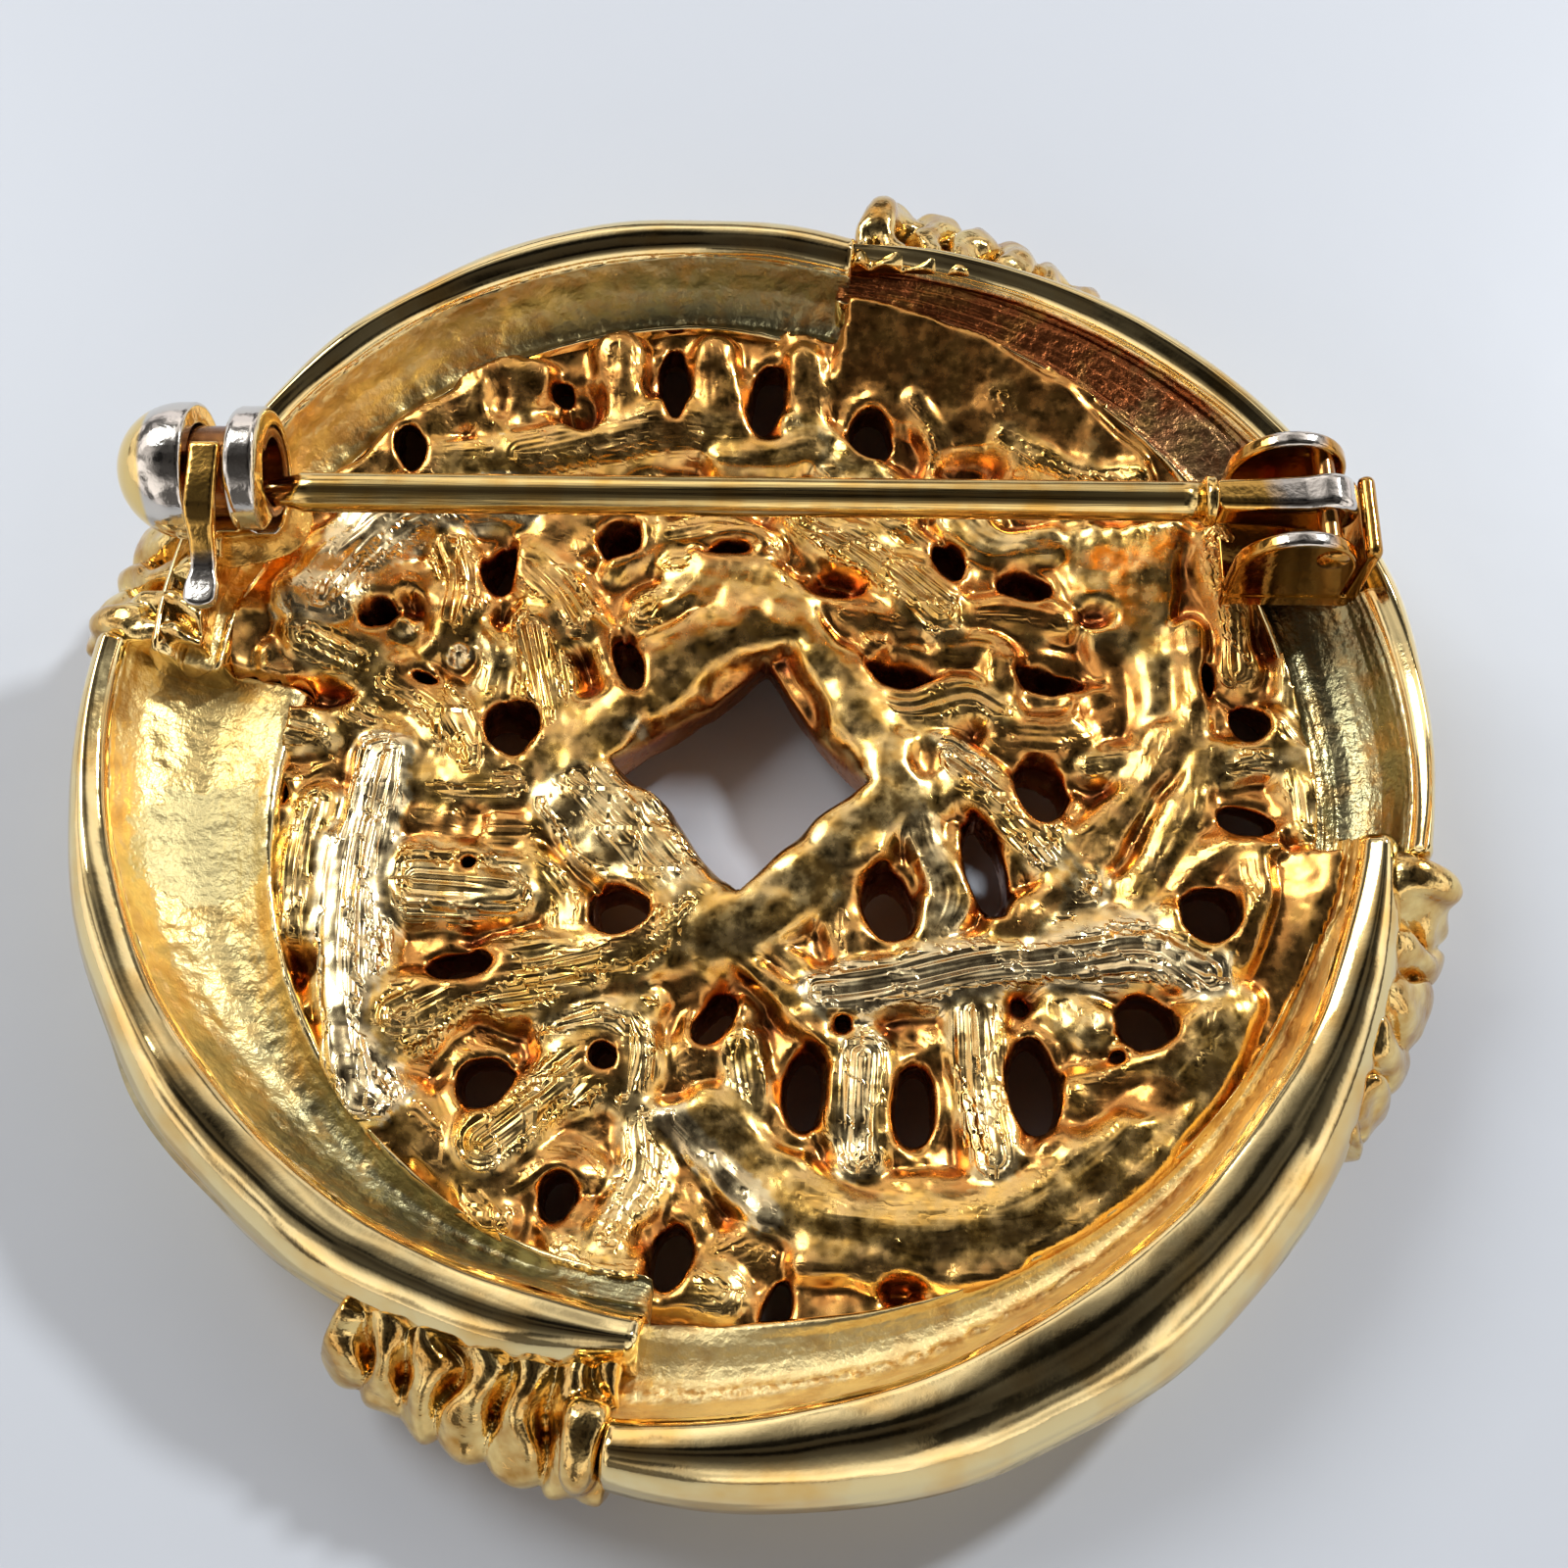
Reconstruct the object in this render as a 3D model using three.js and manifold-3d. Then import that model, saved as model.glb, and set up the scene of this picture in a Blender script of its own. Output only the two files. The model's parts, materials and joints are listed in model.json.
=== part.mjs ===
// Round openwork brooch, seen from its back: a domed woven plate with a square
// window, inside a rim of four overlapping crescents with fluted tabs, and a pin
// with a riveted hinge and a ball catch whose inner sleeve turns.
//
// Millimetres. +Z points out of the brooch's back, towards the wearer, and z = 0 is
// the plane that the rounded fronts of the crescents rest on. The pin lies along X,
// with its catch at -X and its hinge at +X. Four-fold parts turn about the Z axis.
import * as THREE from 'three';
import { mergeVertices } from 'three/addons/utils/BufferGeometryUtils.js';
import Module from 'manifold-3d';

const wasm = await Module();
wasm.setup();

// ---- Driving dimensions -------------------------------------------------------
const QUADRANTS = 4;
const QUARTER_TURN = Math.PI / 2;
const FIRST_END_ANGLE = THREE.MathUtils.degToRad(80.5); // blunt end of crescent 1
const SOLDER_GAP = 0.15; // between neighbouring castings
const RUNNING_GAP = 0.07; // between turning pieces, on the radius

// Rim crescents
const CREST_Z = 6.6; // the rolled crest, the highest line of the casting
const CREST_R_BLUNT = 20.1;
const CREST_R_GROWTH = 2.2; // the crest spirals outwards to the tail
const CREST_GROWTH_POWER = 0.6; // under 1, so most of the growth is near the blunt end
const LIP_WIDTH = 2.5; // from the crest out to the widest line of the rim
const LIP_WIDTH_BLUNT = 1.4; // narrower beside the fluted tab
const LIP_FULL_STATION = 0.35; // where the lip has grown to its full width
const CHANNEL_R_BLUNT = 19.0; // inner edge of the channel at the blunt end
const CHANNEL_SWELL = 0.3; // outwards at mid length
const CHANNEL_DRAW_IN = 1.7; // inwards at the tail
const CHANNEL_EDGE_Z = 4.65;
const CHANNEL_DEPTH_MAX = 1.7;
const CREST_ROLL = 0.45; // how far inside the crest line the lip is rounded down
const CROWN_HALF_WIDTH = 0.8; // the flat that the front rests on
const CRESCENT_STATIONS = 14;
const SEAT_MARGIN = 0.3; // round the catch and the hinge, in the flats cut for them
const SEAT_GAP = 0.05; // solder under the catch's foot and the hinge

// Woven dome and the bands round its window
const WEAVE_BACK_Z = 3.6;
const WEAVE_FRONT_Z = 1.6;
const WINDOW_HALF = 3.45;
const WINDOW_TURN = THREE.MathUtils.degToRad(37.6); // direction of a window side
const BAND_WIDTH = 2.2;
const BAND_FRONT_Z = 1.2;
const BAND_SWELL = 0.25; // the middle of a band leans into the window
const BAND_CORNER = 0.6;
const BAND_BEVEL = 0.3;

// Fluted tabs outside the blunt ends
const TAB_TALL_R = 25.0;
const TAB_LOW_R = 24.4;
const TAB_SWEEP = THREE.MathUtils.degToRad(24);
const TAB_FRONT_Z = 1.2;
const TAB_BACK_Z = 5.4;
const TAB_FLUTES = 6;
const TAB_FLUTE_HEIGHT = 0.3;
const TAB_WALL = 0.4;
const TAB_POCKET_FLOOR_Z = 2.8;
const TAB_POCKETS = [[0.1, 0.32], [0.42, 0.6]]; // from and to, as fractions of the sweep

// Pin
const PIN_Y = 8.4;
const PIN_Z = CREST_Z + 1.9;
const STEM_R = 0.7;
const STEM_TIP_X = -18.0;
const STEM_TIP_R = 0.28;
const STEM_FACE_R = 0.5; // where the stem enters the catch
const STEM_TAPER_LENGTH = 0.9; // from the catch's face to the full radius
const COLLAR_X = 15.7;
const COLLAR_LENGTH = 0.4;
const COLLAR_R = 0.9;
const COLLAR_BEVEL = 0.1;

// Hinge
const RIVET_X = 20.05;
const RIVET_R = 0.4;
const RIVET_HEAD_R = 0.65;
const RIVET_HEAD_HEIGHT = 0.28;
const RIVET_END_PLAY = 0.04; // between each head and its ear
const KNUCKLE_R = 1.05;
const KNUCKLE_JOIN = THREE.MathUtils.degToRad(125); // where the shank meets the eye
const KNUCKLE_WIDTH = 1.45;
const EAR_GAP = 3.2; // between the inner faces of the two ears
const EAR_THICKNESS = 0.6;
const EAR_TOP_Z = PIN_Z + 1.1;
const EAR_MIN_X = 16.9;
const EAR_MAX_X = 21.1;
const BACK_STOP_X = 21.25;
const BACK_STOP_THICKNESS = 0.45;
const BACK_STOP_REACH = 1.0; // past the middle of the pin
const BACK_STOP_TOP_Z = PIN_Z + 0.35;
const BRACKET_BOTTOM_Z = 5.05;

// Ball catch
const CATCH_Y = PIN_Y + 0.6;
const CATCH_Z = PIN_Z + 0.35;
const BALL_R = 2.4;
const BALL_CENTRE_X = -20.05;
const CATCH_FACE_X = -16.9; // the open end, where the stem goes in
const CATCH_BORE_R = 1.65;
const CATCH_BORE_END_X = -21.4;
const SLEEVE_R = CATCH_BORE_R - RUNNING_GAP;
const SLEEVE_BORE_R = 1.2;
const SLEEVE_BORE_END_X = -18.35;
const GROOVE_MIN_X = -19.55;
const GROOVE_MAX_X = -18.2;
const GROOVE_FLOOR = -1.3; // height of the groove's lower ends above the catch axis
const MOUTH_WIDTH = 1.3;
const LEVER_WIDTH = 1.05;
const LEVER_THICKNESS = 0.42;
const LEVER_LINE = [ // its middle, as [y, z] from the catch's axis
  [-0.3, 1.87],
  [-1.9, 1.5],
  [-2.7, 1.15],
  [-4.2, 0.75],
  [-5.4, 0.35],
];
const FOOT_BOTTOM_Z = 5.75;
const FOOT_TOP_Z = 6.55;
const FOOT_R = 1.3;
const FOOT_LENGTH = 3.7;
const FOOT_INSET = 0.3; // from the catch's face
const FACE_BEVEL = 0.25;

// ---- Materials -----------------------------------------------------------------
const metal = (color, roughness) =>
  new THREE.MeshStandardMaterial({ color, roughness, metalness: 1.0 });
const polishedGold = () => metal('#d9a83c', 0.16);
const castGold = () => metal('#b9782f', 0.38);
const wornNickel = () => metal('#b9aea2', 0.2);

// ---- Solids ---------------------------------------------------------------------
// A three.js geometry as a manifold solid, and back again.
function toSolid(geometry) {
  const bare = geometry.clone();
  bare.deleteAttribute('normal');
  bare.deleteAttribute('uv');
  const merged = mergeVertices(bare, 1e-5);
  return new wasm.Manifold(new wasm.Mesh({
    numProp: 3,
    vertProperties: new Float32Array(merged.attributes.position.array),
    triVerts: new Uint32Array(merged.index.array),
  }));
}

function toGeometry(solid) {
  const mesh = solid.getMesh();
  const geometry = new THREE.BufferGeometry();
  geometry.setAttribute('position', new THREE.BufferAttribute(mesh.vertProperties, 3));
  geometry.setIndex(new THREE.BufferAttribute(mesh.triVerts, 1));
  geometry.computeVertexNormals();
  return geometry;
}

// A box between two corners.
function boxBetween(low, high) {
  const size = new THREE.Vector3(...high).sub(new THREE.Vector3(...low));
  const centre = new THREE.Vector3(...low).addScaledVector(size, 0.5);
  return new THREE.BoxGeometry(size.x, size.y, size.z).translate(...centre);
}

// An outline in XY, extruded from z = low to z = high.
function prism(points, low, high, bevel = 0) {
  const shape = new THREE.Shape(points);
  const geometry = new THREE.ExtrudeGeometry(shape, {
    depth: high - low - 2 * bevel,
    bevelEnabled: bevel > 0,
    bevelSize: bevel,
    bevelThickness: bevel,
    bevelOffset: -bevel,
    bevelSegments: 1,
    curveSegments: 10,
  });
  return geometry.translate(0, 0, low + bevel);
}

// A profile of [x, radius] points, turned about the X axis and then placed at y, z.
function turnedAlongX(profile, y, z, segments) {
  const points = profile.map(([x, radius]) => new THREE.Vector2(radius, -x)).reverse();
  const geometry = new THREE.LatheGeometry(points, segments);
  return geometry.rotateZ(QUARTER_TURN).translate(0, y, z);
}

// An outline in XZ, extruded along Y and centred on y.
function plateAcrossY(shape, y, width, bevel = 0) {
  const geometry = new THREE.ExtrudeGeometry(shape, {
    depth: width - 2 * bevel,
    bevelEnabled: bevel > 0,
    bevelSize: bevel,
    bevelThickness: bevel,
    bevelOffset: -bevel,
    bevelSegments: 1,
    curveSegments: 12,
  });
  return geometry.rotateX(QUARTER_TURN).translate(0, y + width / 2 - bevel, 0);
}

// Joins rings of equal point counts into one closed skin with flat ends.
function loft(rings) {
  const count = rings[0].length;
  const positions = rings.flat().flatMap((point) => point.toArray());
  const index = [];
  for (let ring = 0; ring + 1 < rings.length; ring += 1) {
    for (let i = 0; i < count; i += 1) {
      const a = ring * count + i;
      const b = ring * count + ((i + 1) % count);
      index.push(a, b, b + count, a, b + count, a + count);
    }
  }
  const last = (rings.length - 1) * count;
  return { positions, index, count, last };
}

function point2(radius, angle) {
  return new THREE.Vector2(radius * Math.cos(angle), radius * Math.sin(angle));
}

// ---- Rim crescents -----------------------------------------------------------------
// A station runs from 0 at the blunt end to 1 at the tail, clockwise seen from the back.
const crestRadius = (station) =>
  CREST_R_BLUNT + CREST_R_GROWTH * station ** CREST_GROWTH_POWER;
const lipWidth = (station) => THREE.MathUtils.lerp(
  LIP_WIDTH_BLUNT, LIP_WIDTH, Math.min(1, station / LIP_FULL_STATION));
const channelRadius = (station) =>
  CHANNEL_R_BLUNT + CHANNEL_SWELL * Math.sin(Math.PI * station) - CHANNEL_DRAW_IN * station ** 3;
const crescentSweep = QUARTER_TURN - (2 * SOLDER_GAP) / CREST_R_BLUNT;

// The section, in radius and height: a rolled lip outside, a rounded front that ends
// in a flat crown, and a hollow channel at the back.
function crescentSection(station) {
  const crest = crestRadius(station);
  const inner = channelRadius(station);
  const channel = crest - inner - CREST_ROLL;
  const depth = Math.min(CHANNEL_DEPTH_MAX, 0.75 * (crest - inner));
  const lip = lipWidth(station);
  const crown = (inner + crest + lip) / 2;
  return [
    [crest + 0.1, CREST_Z - 0.12],
    [crest + 0.3 * lip, CREST_Z],
    [crest + 0.6 * lip, CREST_Z - 0.3],
    [crest + 0.9 * lip, CREST_Z - 1.3],
    [crest + lip, CREST_Z - 2.8],
    [crest + 0.7 * lip, CREST_Z - 5.1],
    [crown + CROWN_HALF_WIDTH, 0],
    [crown - CROWN_HALF_WIDTH, 0],
    [inner + 0.1, WEAVE_FRONT_Z],
    [inner, CHANNEL_EDGE_Z],
    [inner + 0.2 * channel, CHANNEL_EDGE_Z - 0.45 * depth],
    [inner + 0.5 * channel, CHANNEL_EDGE_Z - 0.7 * depth],
    [inner + 0.85 * channel, CHANNEL_EDGE_Z - 0.1 * depth],
    [crest - CREST_ROLL, CREST_Z - 1.0],
    [crest - 0.4 * CREST_ROLL, CREST_Z - 0.4],
  ];
}

function crescentGeometry() {
  const rings = [];
  for (let i = 0; i < CRESCENT_STATIONS; i += 1) {
    const station = i / (CRESCENT_STATIONS - 1);
    const angle = FIRST_END_ANGLE - crescentSweep * station;
    rings.push(crescentSection(station).map(([radius, z]) =>
      new THREE.Vector3(radius * Math.cos(angle), radius * Math.sin(angle), z)));
  }
  const { positions, index, last } = loft(rings);
  for (const [station, offset, flipped] of [[0, 0, false], [1, last, true]]) {
    const outline = crescentSection(station).map(([radius, z]) => new THREE.Vector2(radius, z));
    for (const [a, b, c] of THREE.ShapeUtils.triangulateShape(outline, [])) {
      index.push(...(flipped ? [c, b, a] : [a, b, c]).map((corner) => corner + offset));
    }
  }
  const geometry = new THREE.BufferGeometry();
  geometry.setAttribute('position', new THREE.Float32BufferAttribute(positions, 3));
  geometry.setIndex(index);
  return outwards(geometry);
}

// Turns every face round if the solid's volume comes out negative.
function outwards(geometry) {
  const position = geometry.attributes.position;
  const index = geometry.index.array;
  const corners = [new THREE.Vector3(), new THREE.Vector3(), new THREE.Vector3()];
  let volume = 0;
  for (let i = 0; i < index.length; i += 3) {
    corners.forEach((corner, j) => corner.fromBufferAttribute(position, index[i + j]));
    volume += corners[0].dot(corners[1].clone().cross(corners[2]));
  }
  if (volume < 0) {
    for (let i = 0; i < index.length; i += 3) {
      [index[i], index[i + 2]] = [index[i + 2], index[i]];
    }
  }
  geometry.computeVertexNormals();
  return geometry;
}

// The catch and the hinge sit in flats cut across the crest of their crescents.
const catchSeat = boxBetween(
  [CATCH_FACE_X - FOOT_INSET - FOOT_LENGTH - 2 * SEAT_MARGIN, CATCH_Y - FOOT_R - SEAT_MARGIN,
    FOOT_BOTTOM_Z - SEAT_GAP],
  [CATCH_FACE_X + SEAT_MARGIN, CATCH_Y + FOOT_R + SEAT_MARGIN, CREST_Z + 1],
);
const hingeHalfWidth = EAR_GAP / 2 + EAR_THICKNESS;
const hingeSeat = boxBetween(
  [EAR_MIN_X - SEAT_MARGIN, PIN_Y - hingeHalfWidth - SEAT_MARGIN, BRACKET_BOTTOM_Z - SEAT_GAP],
  [BACK_STOP_X + BACK_STOP_THICKNESS + SEAT_MARGIN, PIN_Y + hingeHalfWidth + SEAT_MARGIN,
    CREST_Z + 1],
);

function crescentForQuadrant(quadrant) {
  const turned = crescentGeometry().rotateZ(quadrant * QUARTER_TURN);
  const seats = { 0: hingeSeat, 1: catchSeat };
  if (!(quadrant in seats)) {
    return turned;
  }
  return toGeometry(toSolid(turned).subtract(toSolid(seats[quadrant])));
}

// ---- Woven dome ------------------------------------------------------------------------
// Pierced ovals of one quadrant: [radius, angle in degrees clockwise from the blunt end,
// half length, half width]. The long way of each oval is radial.
const PIERCINGS = [
  [7.2, 36, 0.8, 0.75],
  [9.0, 12, 0.9, 0.7],
  [8.6, 78, 0.8, 0.7],
  [10.8, 28, 1.0, 0.75],
  [11.7, 65, 1.0, 0.75],
  [12.7, 44, 1.0, 0.7],
  [14.8, 9, 1.0, 0.75],
  [14.9, 31, 1.05, 0.75],
  [14.3, 54, 1.0, 0.75],
  [15.6, 84, 1.1, 0.75],
  [16.9, 68, 0.8, 0.65],
];
const PIERCING_SIDES = 8;

function domeOutline() {
  const points = [];
  const steps = 14;
  for (let quadrant = 0; quadrant < QUADRANTS; quadrant += 1) {
    for (let i = steps; i >= 0; i -= 1) {
      const angle = FIRST_END_ANGLE + quadrant * QUARTER_TURN - (crescentSweep * i) / steps;
      points.push(point2(channelRadius(i / steps) - SOLDER_GAP, angle));
    }
  }
  return points;
}

function piercing([radius, degrees, halfLength, halfWidth], quadrant) {
  const angle = FIRST_END_ANGLE + quadrant * QUARTER_TURN - THREE.MathUtils.degToRad(degrees);
  const oval = new THREE.CylinderGeometry(1, 1, 2 * CREST_Z, PIERCING_SIDES);
  oval.rotateX(QUARTER_TURN).scale(halfLength, halfWidth, 1);
  const centre = point2(radius, angle);
  return oval.rotateZ(angle).translate(centre.x, centre.y, 0);
}

function windowBlank(halfSide) {
  const box = boxBetween([-halfSide, -halfSide, -1], [halfSide, halfSide, CREST_Z + 1]);
  return box.rotateZ(WINDOW_TURN);
}

function wovenDome() {
  // Radius and height round the plate's section: flat under the pin, rising to the rim.
  const profile = [
    [5.2, WEAVE_FRONT_Z],
    [11, WEAVE_FRONT_Z + 0.2],
    [16, WEAVE_FRONT_Z + 0.9],
    [20, WEAVE_FRONT_Z + 1.6],
    [20, WEAVE_BACK_Z + 1.25],
    [16.4, WEAVE_BACK_Z + 0.6],
    [13.6, WEAVE_BACK_Z],
    [5.2, WEAVE_BACK_Z],
    [5.2, WEAVE_FRONT_Z],
  ].map(([radius, z]) => new THREE.Vector2(radius, z));
  const plate = new THREE.LatheGeometry(profile, 40).rotateX(QUARTER_TURN);
  let solid = toSolid(plate).intersect(toSolid(prism(domeOutline(), 0, CREST_Z)));
  solid = solid.subtract(toSolid(windowBlank(WINDOW_HALF + BAND_WIDTH + SOLDER_GAP)));
  for (let quadrant = 0; quadrant < QUADRANTS; quadrant += 1) {
    for (const oval of PIERCINGS) {
      solid = solid.subtract(toSolid(piercing(oval, quadrant)));
    }
  }
  return toGeometry(solid);
}

// One smooth band along a side of the window. Each starts against the side of the one
// before it and runs on past its own corner, so that the four make a pinwheel.
function windowBand(quadrant) {
  const outer = WINDOW_HALF + BAND_WIDTH;
  const start = -WINDOW_HALF + SOLDER_GAP;
  const points = [
    new THREE.Vector2(start, WINDOW_HALF),
    new THREE.Vector2(start / 2, WINDOW_HALF - 0.7 * BAND_SWELL),
    new THREE.Vector2(0, WINDOW_HALF - BAND_SWELL),
    new THREE.Vector2(-start / 2, WINDOW_HALF - 0.7 * BAND_SWELL),
    new THREE.Vector2(WINDOW_HALF, WINDOW_HALF),
    new THREE.Vector2(outer - BAND_CORNER, WINDOW_HALF),
    new THREE.Vector2(outer, WINDOW_HALF + BAND_CORNER),
    new THREE.Vector2(outer, outer - BAND_CORNER),
    new THREE.Vector2(outer - BAND_CORNER, outer),
    new THREE.Vector2(start, outer),
  ];
  const band = prism(points, BAND_FRONT_Z, WEAVE_BACK_Z, BAND_BEVEL);
  return band.rotateZ(WINDOW_TURN + quadrant * QUARTER_TURN);
}

// ---- Fluted tabs ---------------------------------------------------------------------------
// The turned-over end of a crescent's ribbon: scalloped outside, hollow at the back.
// A place along a tab runs from 0 at its tall end to 1 at its low end.
const tabAngle = (along) => FIRST_END_ANGLE - TAB_SWEEP * along;
const tabRootRadius = (along) =>
  THREE.MathUtils.lerp(TAB_TALL_R, TAB_LOW_R, along) - TAB_FLUTE_HEIGHT;

function tabInnerRadius(along) {
  const station = (TAB_SWEEP * along) / crescentSweep;
  return crestRadius(station) + lipWidth(station) + SOLDER_GAP;
}

function tabOutline() {
  const steps = 4 * TAB_FLUTES;
  const outer = [];
  const inner = [];
  for (let i = 0; i <= steps; i += 1) {
    const along = i / steps;
    const flute = TAB_FLUTE_HEIGHT * Math.abs(Math.sin(Math.PI * TAB_FLUTES * along));
    outer.push(point2(tabRootRadius(along) + flute, tabAngle(along)));
    inner.push(point2(tabInnerRadius(along), tabAngle(along)));
  }
  return [...inner, ...outer.reverse()];
}

// A pocket in the back of a tab, with its wall left standing all round.
function tabPocket(fromAlong, toAlong) {
  const places = [fromAlong, (fromAlong + toAlong) / 2, toAlong];
  const inner = places.map((along) => point2(tabInnerRadius(along) + TAB_WALL, tabAngle(along)));
  const outer = places.map((along) => point2(tabRootRadius(along) - TAB_WALL, tabAngle(along)));
  return prism([...inner, ...outer.reverse()], TAB_POCKET_FLOOR_Z, TAB_BACK_Z + 1);
}

function flutedTab(quadrant) {
  let solid = toSolid(prism(tabOutline(), TAB_FRONT_Z, TAB_BACK_Z));
  for (const [from, to] of TAB_POCKETS) {
    solid = solid.subtract(toSolid(tabPocket(from, to)));
  }
  return toGeometry(solid).rotateZ(quadrant * QUARTER_TURN);
}

// ---- Ball catch -----------------------------------------------------------------------------
const CATCH_SEGMENTS = 28;
const mouthLow = PIN_Y - MOUTH_WIDTH / 2;
const mouthHigh = PIN_Y + MOUTH_WIDTH / 2;

function catchHousing() {
  const profile = [];
  const domeSteps = 6;
  for (let i = 0; i <= domeSteps; i += 1) {
    const angle = (QUARTER_TURN * i) / domeSteps;
    profile.push([BALL_CENTRE_X - BALL_R * Math.cos(angle), BALL_R * Math.sin(angle)]);
  }
  profile[0][1] = 0;
  profile.push([CATCH_FACE_X - FACE_BEVEL, BALL_R]);
  profile.push([CATCH_FACE_X, BALL_R - FACE_BEVEL]);
  profile.push([CATCH_FACE_X, CATCH_BORE_R]);
  profile.push([CATCH_BORE_END_X, CATCH_BORE_R]);
  profile.push([CATCH_BORE_END_X, 0]);
  let solid = toSolid(turnedAlongX(profile, CATCH_Y, CATCH_Z, CATCH_SEGMENTS));
  const groove = boxBetween(
    [GROOVE_MIN_X, CATCH_Y - 3, CATCH_Z + GROOVE_FLOOR],
    [GROOVE_MAX_X, CATCH_Y + 3, CATCH_Z + 3],
  );
  const mouth = boxBetween(
    [GROOVE_MAX_X - 0.1, mouthLow, CATCH_Z],
    [CATCH_FACE_X + 0.2, mouthHigh, CATCH_Z + 3],
  );
  const underside = boxBetween(
    [BALL_CENTRE_X - 3, CATCH_Y - 3, CATCH_Z - 3],
    [CATCH_FACE_X + 1, CATCH_Y + 3, FOOT_TOP_Z + 0.05],
  );
  for (const cutter of [groove, mouth, underside]) {
    solid = solid.subtract(toSolid(cutter));
  }
  return toGeometry(solid);
}

// The turning sleeve: a plug at the ball's end, hollow and slotted where the stem rests.
function catchSleeve() {
  const profile = [
    [CATCH_BORE_END_X + 0.1, 0],
    [CATCH_BORE_END_X + 0.1, SLEEVE_R],
    [CATCH_FACE_X - 0.09, SLEEVE_R],
    [CATCH_FACE_X - 0.09, SLEEVE_BORE_R],
    [SLEEVE_BORE_END_X, SLEEVE_BORE_R],
    [SLEEVE_BORE_END_X, 0],
  ];
  const slot = boxBetween(
    [SLEEVE_BORE_END_X, mouthLow, CATCH_Z],
    [CATCH_FACE_X + 0.2, mouthHigh, CATCH_Z + 3],
  );
  const tube = toSolid(turnedAlongX(profile, CATCH_Y, CATCH_Z, CATCH_SEGMENTS));
  return toGeometry(tube.subtract(toSolid(slot)));
}

// The thumb lever: a flat strip that leaves the sleeve over its top and bends down.
function catchLever() {
  const half = LEVER_THICKNESS / 2;
  const centreline = LEVER_LINE.map(([y, z]) => new THREE.Vector2(y, z));
  const left = [];
  const right = [];
  centreline.forEach((point, i) => {
    const before = centreline[Math.max(i - 1, 0)];
    const after = centreline[Math.min(i + 1, centreline.length - 1)];
    const along = after.clone().sub(before).normalize();
    const across = new THREE.Vector2(-along.y, along.x).multiplyScalar(half);
    left.push(point.clone().add(across));
    right.push(point.clone().sub(across));
  });
  const strip = new THREE.ExtrudeGeometry(new THREE.Shape([...left, ...right.reverse()]), {
    depth: LEVER_WIDTH,
    bevelEnabled: false,
  });
  // The strip's outline is drawn in Y and Z, so its depth is turned to run along X.
  const toYZX = new THREE.Matrix4().makeBasis(
    new THREE.Vector3(0, 1, 0),
    new THREE.Vector3(0, 0, 1),
    new THREE.Vector3(1, 0, 0),
  );
  const middle = (GROOVE_MIN_X + GROOVE_MAX_X) / 2;
  return strip.applyMatrix4(toYZX).translate(middle - LEVER_WIDTH / 2, CATCH_Y, CATCH_Z);
}

function catchFoot() {
  const high = CATCH_FACE_X - FOOT_INSET;
  const low = high - FOOT_LENGTH;
  const shape = new THREE.Shape();
  shape.absarc(high - FOOT_R, CATCH_Y, FOOT_R, -QUARTER_TURN, QUARTER_TURN);
  shape.absarc(low + FOOT_R, CATCH_Y, FOOT_R, QUARTER_TURN, 3 * QUARTER_TURN);
  return prism(shape.getPoints(8), FOOT_BOTTOM_Z, FOOT_TOP_Z, 0.1);
}

// ---- Hinge ------------------------------------------------------------------------------------
// One sheet: a base plate, two round-topped ears and a stop behind the knuckle.
function hingeBracket() {
  const earRadius = (EAR_MAX_X - EAR_MIN_X) / 2;
  const earMiddle = (EAR_MAX_X + EAR_MIN_X) / 2;
  const ear = new THREE.Shape();
  ear.moveTo(EAR_MIN_X, BRACKET_BOTTOM_Z);
  ear.lineTo(EAR_MAX_X, BRACKET_BOTTOM_Z);
  ear.absarc(earMiddle, EAR_TOP_Z - earRadius, earRadius, 0, Math.PI);
  const eye = new THREE.Path();
  eye.absarc(RIVET_X, PIN_Z, RIVET_R + 0.05, 0, 2 * Math.PI, true);
  ear.holes.push(eye);
  const earOffset = EAR_GAP / 2 + EAR_THICKNESS / 2;
  const base = boxBetween(
    [EAR_MIN_X, PIN_Y - hingeHalfWidth, BRACKET_BOTTOM_Z],
    [BACK_STOP_X + BACK_STOP_THICKNESS, PIN_Y + hingeHalfWidth, BRACKET_BOTTOM_Z + EAR_THICKNESS],
  );
  const stop = boxBetween(
    [BACK_STOP_X, PIN_Y - hingeHalfWidth, BRACKET_BOTTOM_Z],
    [BACK_STOP_X + BACK_STOP_THICKNESS, PIN_Y + BACK_STOP_REACH, BACK_STOP_TOP_Z],
  );
  let solid = toSolid(base).add(toSolid(stop));
  for (const side of [-1, 1]) {
    solid = solid.add(toSolid(plateAcrossY(ear, PIN_Y + side * earOffset, EAR_THICKNESS)));
  }
  return toGeometry(solid);
}

// The shank fills the ears and the knuckle, and a domed head closes each side.
function hingeRivet() {
  const outer = hingeHalfWidth + RIVET_END_PLAY;
  const half = [
    [RIVET_R, outer],
    [RIVET_HEAD_R, outer],
    [0.8 * RIVET_HEAD_R, outer + 0.7 * RIVET_HEAD_HEIGHT],
    [0, outer + RIVET_HEAD_HEIGHT],
  ];
  const lower = half.map(([radius, y]) => new THREE.Vector2(radius, -y)).reverse();
  const upper = half.map(([radius, y]) => new THREE.Vector2(radius, y));
  return new THREE.LatheGeometry([...lower, ...upper], 20).translate(RIVET_X, PIN_Y, PIN_Z);
}

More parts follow.
